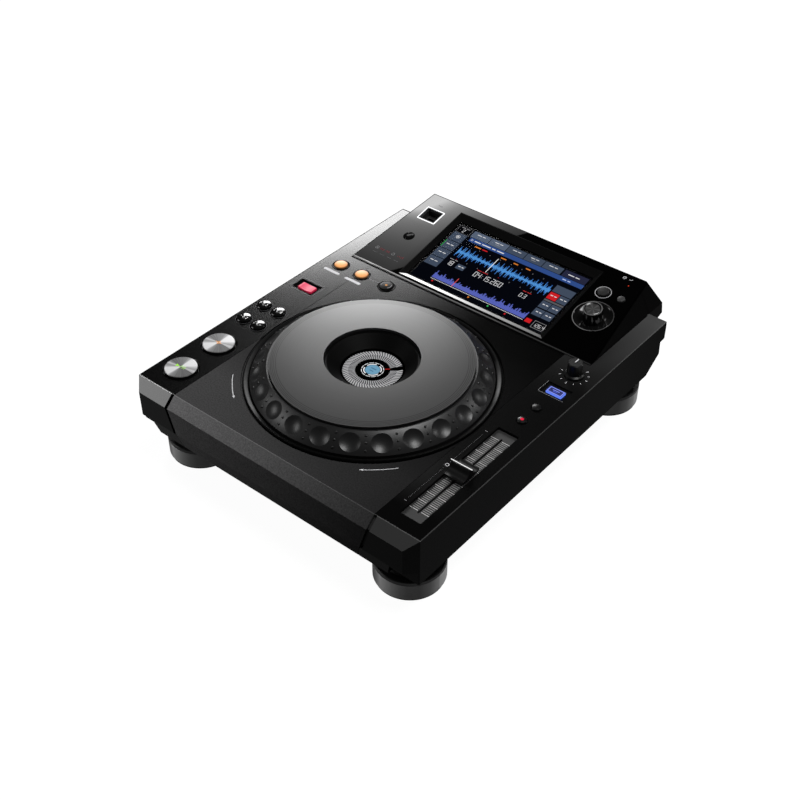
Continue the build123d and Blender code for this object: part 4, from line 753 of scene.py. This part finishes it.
class Sheet:
    """A flat layer of marks, drawn in millimetres on a plane and then put in its place.

    A mark may lie some thin layers higher than the sheet, to show over others."""

    def __init__(self, plane=deck_plane @ at(0, 0, print_rise)):
        self.plane = plane
        self.mesh = bmesh.new()
        self.ink = self.mesh.loops.layers.float_color.new("ink")

    def paint(self, verts, colour):
        """Gives the faces at some corners their colour."""
        for face in {face for vert in verts for face in vert.link_faces}:
            for loop in face.loops:
                loop[self.ink] = (*colour_of(colour), 1.0)

    def bar(self, x, y, width, length, colour=white, layer=0, turn=0.0, radius=0.0):
        """A rectangle by its middle and its two sizes, with round corners if it has a radius."""
        place = at(x, y, layer * picture_layer, turn) @ Matrix.Diagonal((width, length, 1.0, 1.0))
        made = bmesh.ops.create_grid(self.mesh, x_segments=1, y_segments=1, size=0.5, matrix=place)
        if radius:
            made = bmesh.ops.bevel(
                self.mesh, geom=made["verts"], affect="VERTICES", offset=radius, segments=4,
                profile=0.5, material=-1,
            )
        self.paint(made["verts"], colour)

    def disc(self, x, y, radius, colour=white, layer=0, segments=32):
        """A filled circle."""
        place = at(x, y, layer * picture_layer)
        made = bmesh.ops.create_circle(
            self.mesh, cap_ends=True, segments=segments, radius=radius, matrix=place
        )
        self.paint(made["verts"], colour)

    def ring(self, x, y, outer, inner, colour=white, layer=0, start=0.0, sweep=360.0, steps=64):
        """A ring, or a part of one from a start angle, in degrees."""
        older = set(self.mesh.verts)
        middle = Vector((x, y, layer * picture_layer))
        ends = [middle + Vector((*around(reach, start), 0)) for reach in (inner, outer)]
        verts = [self.mesh.verts.new(end) for end in ends]
        edge = self.mesh.edges.new(verts)
        bmesh.ops.spin(
            self.mesh, geom=[*verts, edge], cent=middle, axis=(0, 0, 1),
            angle=math.radians(sweep), steps=steps, use_merge=abs(sweep) >= 360.0,
        )
        self.paint(set(self.mesh.verts) - older, colour)

    def shape(self, points, colour=white):
        """A filled shape by its corners."""
        verts = [self.mesh.verts.new((x, y, 0.0)) for x, y in points]
        self.mesh.faces.new(verts)
        self.paint(verts, colour)

    def triangle(self, x, y, size, way, colour=white):
        """A small triangle that points left or right."""
        tip = size * 0.55 * way
        self.shape([(x - tip, y - size / 2), (x + tip, y), (x - tip, y + size / 2)], colour)

    def dotted(self, start, end, pitch, size=0.5):
        """A row of small square dots between two points."""
        start = Vector(start)
        run = Vector(end) - start
        count = max(1, round(run.length / pitch))
        for step in range(count + 1):
            dot = start + run * step / count
            self.bar(dot.x, dot.y, size, size, grey)

    def words(self, x, y, lengths, height, colour=white, layer=2):
        """A line of plain bars where a screen would show words."""
        for length in lengths:
            self.bar(x + length / 2, y, length, height, colour, layer)
            x += length + 1.4 * height

    def number(self, x, y, height, text, layer=2):
        """Figures made of short strokes, from the left, with points and colons between them."""
        width = height * 0.5
        stroke = height * 0.078
        for letter in text:
            if letter in ".:":
                for rise in (-0.5,) if letter == "." else (-0.22, 0.22):
                    self.bar(x + stroke, y + rise * (height - stroke), stroke, stroke, white, layer)
                x += 3.0 * stroke
                continue
            for part in figures[letter]:
                across, up = strokes[part]
                place = (x + (width + across * (width - stroke)) / 2, y + up * (height - stroke) / 2)
                size = (stroke, height / 2) if across else (width, stroke)
                self.bar(*place, *size, white, layer)
            x += width + 2.0 * stroke

    def lay(self, name, finish, slot, body="player", depth=print_depth):
        """Puts the sheet on its plane as a thin piece that rides on a body."""
        bmesh.ops.recalc_face_normals(self.mesh, faces=self.mesh.faces)
        for face in self.mesh.faces:
            if face.normal.z < 0:
                face.normal_flip()
        bmesh.ops.transform(self.mesh, matrix=self.plane, verts=self.mesh.verts)
        skin = finished(self.mesh, name, finish, body).modifiers.new("thickness", "SOLIDIFY")
        skin.thickness = depth * mm
        skin.offset = -1.0


def finished(mesh, name, finish, body, smooth=False):
    """Makes an object of a mesh that is in its place and lets it ride on a body."""
    data = bpy.data.meshes.new(name)
    mesh.to_mesh(data)
    mesh.free()
    piece = bpy.data.objects.new(name, data)
    show(piece)
    data.materials.append(finish)
    for polygon in data.polygons:
        polygon.use_smooth = smooth
    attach(piece, body)
    return piece


def key_sheet(x, y, top, turn=0.0):
    """A sheet for a sign that lies on top of a key."""
    return Sheet(deck_plane @ at(x, y, top + 0.03, turn))


# Marks on the deck and the panel

def arc_arrow(sheet, start, sweep):
    """A curved arrow beside the jog wheel that shows a turning direction."""
    radius = 117.8
    sheet.ring(0, jog_y, radius + 0.3, radius - 0.3, start=start, sweep=sweep, steps=16)
    out = Vector(around(1.0, start + sweep))
    along = Vector((-out.y, out.x)) * math.copysign(1.0, sweep)
    middle = Vector((0, jog_y)) + out * radius
    sheet.shape([middle + along * 3.0] + [middle - along * 0.4 + out * side for side in (1.1, -1.1)])


def deck_marks(ink):
    """Everything printed on the deck."""
    sheet = Sheet()
    arc_arrow(sheet, 219.5, 14.0)
    arc_arrow(sheet, 320.4, -13.5)
    for x in (loop_in_x, loop_out_x):
        sheet.bar(x - 0.3, loop_y - 12.7, 18.6, 3.3, radius=1.3)
    sheet.bar((loop_out_x + reloop_x) / 2, loop_y, 12.4, 0.4, grey)
    left, right, front, rear = lever_slot
    left, right, front, rear = left - 1.6, right + 1.8, front - 1.8, rear + 1.6
    corners = ((left, front), (right, front), (right, rear), (left, rear), (left, front))
    for start, end in zip(corners, corners[1:]):
        sheet.dotted(start, end, 1.5)
    left, right, front, rear = jog_mode_recess
    left, front = left - 0.6, front - 0.6
    sheet.dotted((left, rear), (left, front), 0.45, 0.34)
    sheet.dotted((left, front), (right, front), 0.45, 0.34)
    for step in range(11):
        turn = -240 + 30 * step
        reach = 1.6 if step % 5 else 2.6
        x, y = around(11.2 + reach / 2, turn)
        sheet.bar(right_column_x + x, speed_y + y, reach, 0.5, turn=turn)
    line_x = 117.1
    for y in (26.0, 127.8):
        sheet.bar(line_x, y, 2.6, 0.4, grey)
    for y in (30.0, 81.0):
        sheet.dotted((line_x, y), (line_x, y + 42.0), 1.6, 0.35)
    sheet.ring(line_x, 76.8, 1.7, 1.25, steps=24)
    for x in (search_left, search_right):
        for y in (track_y, search_y):
            sheet.ring(x, y, 7.7, 7.45, dim, steps=48)
    sheet.lay("deck_marks", ink, "cover_matte")


def fader_scale(ink):
    """The scale lines on the fader's plate, of which every fifth is longer and paler."""
    sheet = Sheet(deck_plane @ at(right_column_x, fader_y, fader_plate_top + 0.04))
    for step in range(fader_lines):
        y = fader_scale_length * (step / (fader_lines - 1) - 0.5)
        length, tone = (6.4, 0.34) if step % 5 else (7.6, 0.66)
        for side in (-1, 1):
            sheet.bar(side * (1.6 + length / 2), y, length, 0.5, tone)
    sheet.lay("fader_scale", ink, "scale_plate", depth=0.07)


def dome_marks(ink):
    """The arrows on the four search and track keys, bent over their domed tops."""
    for key, x, y, way in (
        ("track_back", search_left, track_y, -1), ("track_forward", search_right, track_y, 1),
        ("search_back", search_left, search_y, -1), ("search_forward", search_right, search_y, 1),
    ):
        sheet = Sheet(deck_plane @ at(x, y, dome_top + 0.08))
        for arrow_x in (-1.9, 1.6):
            sheet.triangle(arrow_x * way, 0, 3.6, way, bright)
        if y == track_y:
            sheet.bar(4.1 * way, 0, 0.8, 3.6, bright)
        for vert in sheet.mesh.verts:
            vert.co.z -= dome_crown * vert.co.xy.length_squared / dome_radius ** 2
        sheet.lay(key + "_mark", ink, "key_black", key + "_key", 0.2)


def play_marks(lit):
    """The lit signs on the play and cue buttons."""
    green = (0.42, 0.9, 0.10)
    sheet = key_sheet(play_x, play_y, play_top, 8)
    sheet.triangle(-3.2, 0, 3.4, 1, green)
    sheet.bar(0.0, 0, 0.5, 4.6, green, turn=-20)
    for x in (2.2, 4.0):
        sheet.bar(x, 0, 0.6, 3.4, green)
    sheet.lay("play_sign", lit, "key_steel", "play_key", 0.12)
    orange = (0.95, 0.42, 0.14)
    sheet = key_sheet(play_x, cue_y, play_top)
    sheet.ring(0, 0, 1.7, 1.25, orange, steps=24)
    sheet.bar(0, 0, 7.2, 0.45, orange)
    sheet.bar(0, 0, 0.45, 5.2, orange)
    sheet.lay("cue_sign", lit, "key_steel", "cue_key", 0.12)


def key_marks(ink, lit):
    """Small signs on the other keys and knobs."""
    sheet = key_sheet(right_column_x, speed_y, speed_top + 0.02)
    sheet.bar(0, 2.0, 0.9, 5.4)
    sheet.lay("speed_pointer", ink, "knob_black", "speed_knob", 0.1)
    sheet = key_sheet(right_column_x, fader_y, fader_ridge_top)
    sheet.bar(0, 0, 20.4, 0.95, bright)
    sheet.lay("fader_line", ink, "knob_black", "fader", 0.1)
    blue = (0.10, 0.16, 1.0)
    pale = (0.25, 0.32, 1.0)
    sheet = key_sheet(jog_mode_x, jog_mode_y, jog_mode_top)
    width, length, line = 14.0, 7.2, 0.9
    for side in (-1, 1):
        sheet.bar(0, side * (length - line) / 2, width, line, pale)
        sheet.bar(side * (width - line) / 2, 0, line, length - 2 * line, pale)
    sheet.bar(0, 0.7, 6.4, 0.8, pale)
    sheet.bar(0, -1.0, 4.4, 0.5, blue)
    sheet.lay("jog_mode_sign", lit, "key_blue", "jog_mode_key", 0.1)
    sheet = key_sheet(right_column_x, master_tempo_y, master_tempo_top)
    sheet.disc(0, 0, 1.5, (0.85, 0.02, 0.06))
    sheet.lay("master_tempo_light", lit, "key_black", "master_tempo_key", 0.1)
    sheet = key_sheet(reloop_x, loop_y, loop_top)
    for start in (-40, 140):
        sheet.ring(0, 0, 5.2, 4.5, grey, start=start, sweep=80, steps=16)
    sheet.disc(0, 0, 1.2, (0.75, 0.36, 0.14))
    sheet.lay("reloop_light", lit, "key_black", "reloop_key", 0.12)


def panel_marks(ink, lit):
    """Signs printed on the tilted panel and its standby light."""
    top = panel_plane @ at(0, 0, print_rise)
    sheet = Sheet(top)
    sheet.ring(back_x, back_v, 7.6, 6.9, (0.42, 0.42, 0.43), steps=48)
    sheet.ring(102.2, 105.6, 1.6, 1.2, start=110, sweep=320, steps=24)
    for mark in ((102.2, 106.9, 0.4, 1.8), (108.4, 105.2, 3.0, 0.4), (109.7, 106.0, 0.4, 1.6)):
        sheet.bar(*mark)
    rosy = (0.20, 0.02, 0.03)
    logo_v = 21.0
    sheet.ring(-120.6, logo_v, 1.9, 1.5, grey, steps=24)
    sheet.disc(-120.6, logo_v, 0.6, grey)
    for x, width in ((-114.6, 5.6), (-107.6, 4.6)):
        for v in (21.6, 20.2):
            sheet.bar(x, v, width, 0.5, rosy)
    sheet.ring(-101.2, logo_v, 1.7, 1.35, grey, steps=24)
    for step in range(4):
        sheet.bar(-95.4 + 2.0 * step, logo_v, 0.7, 1.0 + 0.6 * step, rosy)
        sheet.bar(-118.6 + 8.6 * step, 14.9, 5.2, 0.6, dim)
    for step in (-1, 0, 1):
        sheet.bar(usb_x + 1.6 * step, usb_v + 15.6, 0.9, 0.9, dim)
    sheet.lay("panel_marks", ink, "panel_acrylic")
    sheet = Sheet(top)
    sheet.disc(110.6, 98.2, 0.55, (0.9, 0.06, 0.02), segments=16)
    sheet.lay("standby_light", lit, "panel_acrylic")


# Lit pictures

def jog_picture(lit):
    """The ring, the mark and the disc shown in the middle of the jog wheel."""
    sheet = Sheet(jog_plane @ at(0, 0, display_face + picture_rise))
    gap_at = 43.0
    gap = 13.0
    inner = 14.9
    outer = 25.5
    start = gap_at + gap / 2
    sheet.ring(0, 0, outer, inner, (0.08, 0.08, 0.085), start=start, sweep=360 - gap, steps=120)
    spokes = 60
    reach = (outer - inner) / 2
    for step in range(spokes):
        turn = start + (step + 0.5) * (360 - gap) / spokes
        for share, lean in ((-0.5, 10.0), (0.5, 26.0)):
            middle = around((outer + inner) / 2 + share * reach, turn + 3.0 * share)
            width = 0.85 + 0.5 * share
            sheet.bar(*middle, reach * 1.04, width, (0.5, 0.5, 0.51), 1, turn + lean)
    pale = (0.85, 0.88, 0.9)
    for step in range(4):
        sheet.ring(0, 0, 7.9, 6.9, pale, 1, step * 90 + 12, 66, steps=10)
    for step in range(12):
        sheet.ring(0, 0, 9.7, 9.1, pale, 1, step * 30 + 3, 24, steps=4)
    sheet.disc(0, 0, 6.4, (0.16, 0.36, 0.52), 1, segments=48)
    for y, width, length in ((1.6, 5.6, 1.2), (-1.6, 4.0, 1.0)):
        sheet.bar(0, y, width, length, (0.07, 0.18, 0.3), 2)
    sheet.bar(*around(12.6, gap_at), 4.0, 0.9, (0.45, 0.02, 0.015), 2, gap_at)
    sheet.lay("jog_picture", lit, "jog_screen", depth=picture_depth)


# Where each stroke of a figure lies, from -1 to 1 across and up: the top, the middle, the foot,
# the upper two from the left and the lower two. A stroke that isn't at a side lies flat.
strokes = ((0, 1), (0, 0), (0, -1), (-1, 0.5), (1, 0.5), (-1, -0.5), (1, -0.5))
figures = {
    "0": (0, 2, 3, 4, 5, 6), "1": (4, 6), "2": (0, 1, 2, 4, 5), "3": (0, 1, 2, 4, 6),
    "4": (1, 3, 4, 6), "5": (0, 1, 2, 3, 6), "6": (0, 1, 2, 3, 5, 6), "8": range(7),
}


def loudness(step, speed, seed):
    """A lively height from 0 to 1 for one bar of the waveform."""
    slow = 0.5 + 0.5 * math.sin(step * 0.11 * speed + seed)
    quick = abs(math.sin(step * 1.7 * speed + seed * 3.1)) * abs(math.cos(step * 0.53 * speed))
    return 0.14 + 0.42 * slow * quick + 0.44 * quick * quick


def screen_picture(lit):
    """What the touch screen shows: a waveform, figures, an overview and plain tiles."""
    sheet = Sheet(panel_plane @ at(screen_x, screen_v, picture_rise - screen_depth))
    bar = sheet.bar
    words = sheet.words
    black = (0.002, 0.002, 0.003)
    slate = (0.055, 0.075, 0.115)
    red = (0.62, 0.015, 0.02)
    orange = (0.75, 0.22, 0.03)
    caption = (0.5, 0.03, 0.03)
    right = picture_width / 2
    left = -right
    top = picture_height / 2
    foot = -top
    bar(0, 0, picture_width, picture_height, (0.0015, 0.002, 0.004))
    # The top line
    bar(left + 8.4, top - 5.4, 15.4, 9.6, dim, 1)
    bar(left + 8.4, top - 5.4, 14.6, 8.8, black, 2)
    sheet.number(left + 7.0, top - 6.4, 4.4, "2", 3)
    words(left + 3.4, top - 2.4, (4.2, 3.6), 0.8, grey, 3)
    tile = 20.6
    for step in range(5):
        x = left + 17.6 + tile * (step + 0.5)
        bar(x, top - 5.0, tile - 0.7, 8.8, (0.10, 0.13, 0.19) if step < 2 else slate, 1)
        words(x - 4.6, top - 3.8, (4.6, 3.4), 0.8)
        if step % 2:
            words(x - 3.0, top - 6.2, (5.0,), 0.6, grey)
    bar(right - 13.2, top - 5.0, 25.4, 8.8, (0.02, 0.022, 0.05), 1)
    words(right - 20.6, top - 5.0, (6.4, 4.4), 1.0)
    # The tiles at the left
    sheet.ring(left + 8.2, top - 15.6, 2.2, 1.7, white, 3, steps=24)
    sheet.disc(left + 8.2, top - 15.6, 0.9, white, 3)
    for step in range(4):
        y = top - 16.4 - 12.6 * step
        bar(left + 8.2, y, 15.0, 11.8, slate, 1)
        if step:
            words(left + 4.0, y + 0.8, (3.6, 3.4), 0.9)
    bar(left + 1.1, top - 29.0, 0.9, 10.0, (0.02, 0.3, 0.05), 2)
    # The title
    wave_left = left + 20.0
    wave_width = right - 23.0 - wave_left
    title_y = top - 12.6
    bar((wave_left + right) / 2, title_y, right - wave_left, 5.4, (0.03, 0.075, 0.26), 1)
    words(wave_left + 6.0, title_y, (7.0, 10.0, 4.0, 8.0), 1.2)
    sheet.ring(wave_left + 2.6, title_y, 1.2, 0.8, white, 2, steps=16)
    words(right - 22.0, title_y, (4.0, 3.0), 1.1, (0.5, 0.6, 0.9))
    # The waveform
    for x, width, colour in (
        (-40, 7, orange), (-32, 6, red), (-10, 6, orange), (4, 5, orange), (18, 5, orange),
    ):
        bar(x, top - 18.4, width, 1.3, colour, 1)
    wave_y = 8.5
    pitch = wave_width / wave_bars
    for step in range(wave_bars):
        x = wave_left + (step + 0.5) * pitch
        high = 19.0 * loudness(step, 1.0, 0.7)
        bar(x, wave_y, pitch * 0.9, high, (0.04, 0.16, 0.50), 1)
        bar(x, wave_y, pitch * 0.7, high * 0.62, (0.10, 0.36, 0.80), 2)
    for step in range(8):
        x = wave_left + 6 + step * 12.2
        bar(x, wave_y + 10.2, 0.4, 1.0, grey, 1)
        bar(x, wave_y - 10.2, 0.4, 1.0, grey if step % 4 else red, 1)
    bar(-14.0, wave_y, 0.7, 21.0, 0.9, 3)
    # The keys at the right
    column = right - 11.2
    bar(column, 14.0, 20.4, 9.2, slate, 1)
    for way in (-1, 1):
        sheet.triangle(column + 5.0 * way, 14.0, 3.0, way)
    for x, colour in ((column - 5.2, red), (column + 5.2, slate)):
        bar(x, 4.0, 9.8, 9.0, colour, 1)
        words(x - 3.0, 4.6, (2.8, 2.4), 0.9)
        for y in (-9.0, -19.6):
            bar(x, y, 9.8, 9.0, slate, 1)
            words(x - 2.6, y + 0.4, (2.4, 2.2), 0.9)
    bar(column, -2.6, 20.4, 2.2, (0.1, 0.1, 0.11), 1)
    bar(column - 7.0, foot + 7.6, 6.0, 5.0, red, 1)
    bar(column + 4.6, foot + 6.6, 12.0, 9.0, grey, 1)
    bar(column + 4.6, foot + 6.6, 11.2, 8.2, black, 2)
    sheet.number(column - 0.4, foot + 6.2, 4.2, "126.4", 3)
    # The line of figures
    line_y = -8.6
    sheet.number(wave_left, line_y, 6.0, "18")
    words(wave_left, line_y + 5.2, (4.6, 3.0), 0.8, grey)
    bar(wave_left + 16.0, line_y, 9.0, 6.4, slate, 1)
    words(wave_left + 13.2, line_y + 0.4, (2.6, 2.2), 0.9)
    sheet.number(-22.0, line_y, 6.4, "04:15.260")
    words(-22.0, line_y + 5.4, (4.6, 6.0), 0.8, caption)
    sheet.number(30.0, line_y - 0.6, 5.0, "0.3")
    words(30.0, line_y + 5.0, (3.6, 4.4), 0.8, caption)
    # The overview of the track
    pitch = wave_width / overview_bars
    for step in range(overview_bars):
        x = wave_left + (step + 0.5) * pitch
        high = 3.4 + 7.4 * loudness(step, 0.6, 2.2)
        bar(x, foot + 7.4 + high / 2, pitch * 0.96, high, (0.10, 0.13, 0.50), 1)
    for step in range(overview_dots):
        bar(wave_left + (step + 0.5) * wave_width / overview_dots, foot + 6.0, 1.0, 0.8, white, 1)
    bar(-30.0, foot + 12.4, 0.6, 12.0, (0.9, 0.1, 0.1), 2)
    for x, colour in ((-50, red), (-8, orange), (14, (0.05, 0.5, 0.12)), (33, red)):
        bar(x, foot + 3.4, 1.6, 1.6, colour, 1)
    sheet.lay("screen_picture", lit, "screen_module", depth=picture_depth)


# Raised pieces

def ring_slope(radius):
    """The height of the jog ring's slightly bulging slope at a radius."""
    run = ring_edge_radius - ring_crest_radius
    rise = ring_crest_height - ring_edge_height
    length = math.hypot(run, rise)
    bend = (length * length / 4 + ring_bulge * ring_bulge) / (2 * ring_bulge)
    share = (ring_edge_radius - radius) / run
    along = (share - 0.5) * length
    lift = math.sqrt(bend * bend - along * along) - (bend - ring_bulge)
    return ring_edge_height + rise * share + lift * length / run


def ring_dots(finish):
    """Rows of three raised dots between the dents of the jog ring."""
    mesh = bmesh.new()
    for step in range(dent_count):
        for radius in (91.6, 96.2, 100.6):
            middle = around(radius, (step + 0.5) * 360 / dent_count)
            place = Matrix.Translation((*middle, ring_slope(radius) - 0.3))
            bmesh.ops.create_uvsphere(mesh, u_segments=10, v_segments=6, radius=1.15, matrix=place)
    bmesh.ops.transform(mesh, matrix=jog_plane, verts=mesh.verts)
    finished(mesh, "ring_dots", finish, "jog_wheel", smooth=True)


# Nodes of plain plastic, and the name, tone, roughness, grain, shine and relief of each plastic
plain_plastics = (
    ("bottom_chassis rear_panel", "sheet_black", 0.02, 0.5, 0.5),
    ("foot_cups", "foot_plastic", 0.012, 0.35),
    ("foot_pads", "foot_rubber", 0.018, 0.8, 0.4, 0.2, 0.3),
    ("jog_base", "pit_plastic", 0.01, 0.6),
    ("jog_surround", "surround_gloss", 0.0015, 0.5, 0.8, 0.05),
    ("encoder_strip encoder_sensor", "sensor_plastic", 0.03, 0.5),
    ("usb_socket mains_inlet network_socket computer_socket", "socket_plastic", 0.02, 0.45),
    (
        "usb_stop_button track_back_button track_forward_button search_back_button"
        " search_forward_button power_button", "key_gloss", 0.003, 0.1, 1.2, 0.5, 0.03,
    ),
    ("tag_button", "key_grey", 0.045, 0.3, 1.2, 0.2, 0.03),
    ("back_button", "key_smoke", 0.022, 0.3, 1.2, 0.2, 0.03),
    ("master_tempo_button tempo_range_button", "key_satin", 0.004, 0.32, 0.8, 0.15),
    ("reloop_button loop_rings", "key_black", 0.003, 0.3, 0.8, 0.05),
    ("vinyl_speed_knob fader_cap", "knob_satin", 0.005, 0.32, 0.7, 0.3),
)


def dress(names, finish):
    """Gives CAD nodes their finish."""
    for name in names.split():
        slots = nodes[name].data.materials
        slots.clear()
        slots.append(finish)


def dress_player():
    """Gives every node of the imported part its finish."""
    for names, *look in plain_plastics:
        dress(names, black_plastic(*look))
    dress("centre_cover", cover_grain())
    dress("left_cover", side_gloss("left_gloss", 0.0016, 0.14, 1.0, 6.0))
    dress("right_cover", side_gloss("right_satin", 0.003, 0.15, 0.5, 0.9, 0.05, 0.1, 0.07))
    dress("screen_housing", side_gloss("housing_gloss", 0.002, 0.14, 0.5, 1.0))
    dress("display_panel", panel_gloss())
    dress("screen_frame", frame_bevel())
    dress("cover_screws", metal("screw_zinc", 0.2, 0.35))
    dress("foot_bands", band_metal())
    dress("jog_ring", ring_plastic())
    dress("jog_platter", platter_metal())
    dress("jog_bezel", bezel_metal())
    low, high = (0.001, 0.001, 0.0012), (0.003, 0.003, 0.0035)
    dress("jog_display lcd_module", clouded("display_dark", 8.0, low, high, 0.2, Specular_IOR_Level=0.3))
    dress("jog_window", clear_glass("jog_glass"))
    dress("touch_glass", clear_glass("screen_glass"))
    dress("jog_mode_button", violet_plastic())
    dress("play_button", spun_steel("play_steel", play_y))
    dress("cue_button", spun_steel("cue_steel", cue_y))
    dress("loop_in_button", amber_plastic("loop_in_amber", loop_in_x))
    dress("loop_out_button", amber_plastic("loop_out_amber", loop_out_x))
    dress("direction_lever", lever_plastic())
    dress("usb_light_frame", usb_light())
    dress("selector_knob", knob_gloss())
    dress("selector_dish", dish_gloss())
    dress("selector_shaft fader_stem fader_body", metal("shaft_steel", 0.5, 0.3))
    dress("fader_plate", clouded("scale_plastic", 0.5, 0.014, 0.022, 0.5, Specular_IOR_Level=0.3))
    dress("digital_out_jack audio_out_jacks", metal("jack_nickel", 0.6, 0.25, (1.0, 0.97, 0.88)))
    dress("main_board power_supply key_boards", board_mask())


make_camera()
make_studio()
dress_player()
ink = printed_ink()
lit = lit_picture()
deck_marks(ink)
fader_scale(ink)
dome_marks(ink)
play_marks(lit)
key_marks(ink, lit)
panel_marks(ink, lit)
jog_picture(lit)
screen_picture(lit)
ring_dots(ring_plastic())

bpy.context.scene.view_settings.view_transform = "Standard"
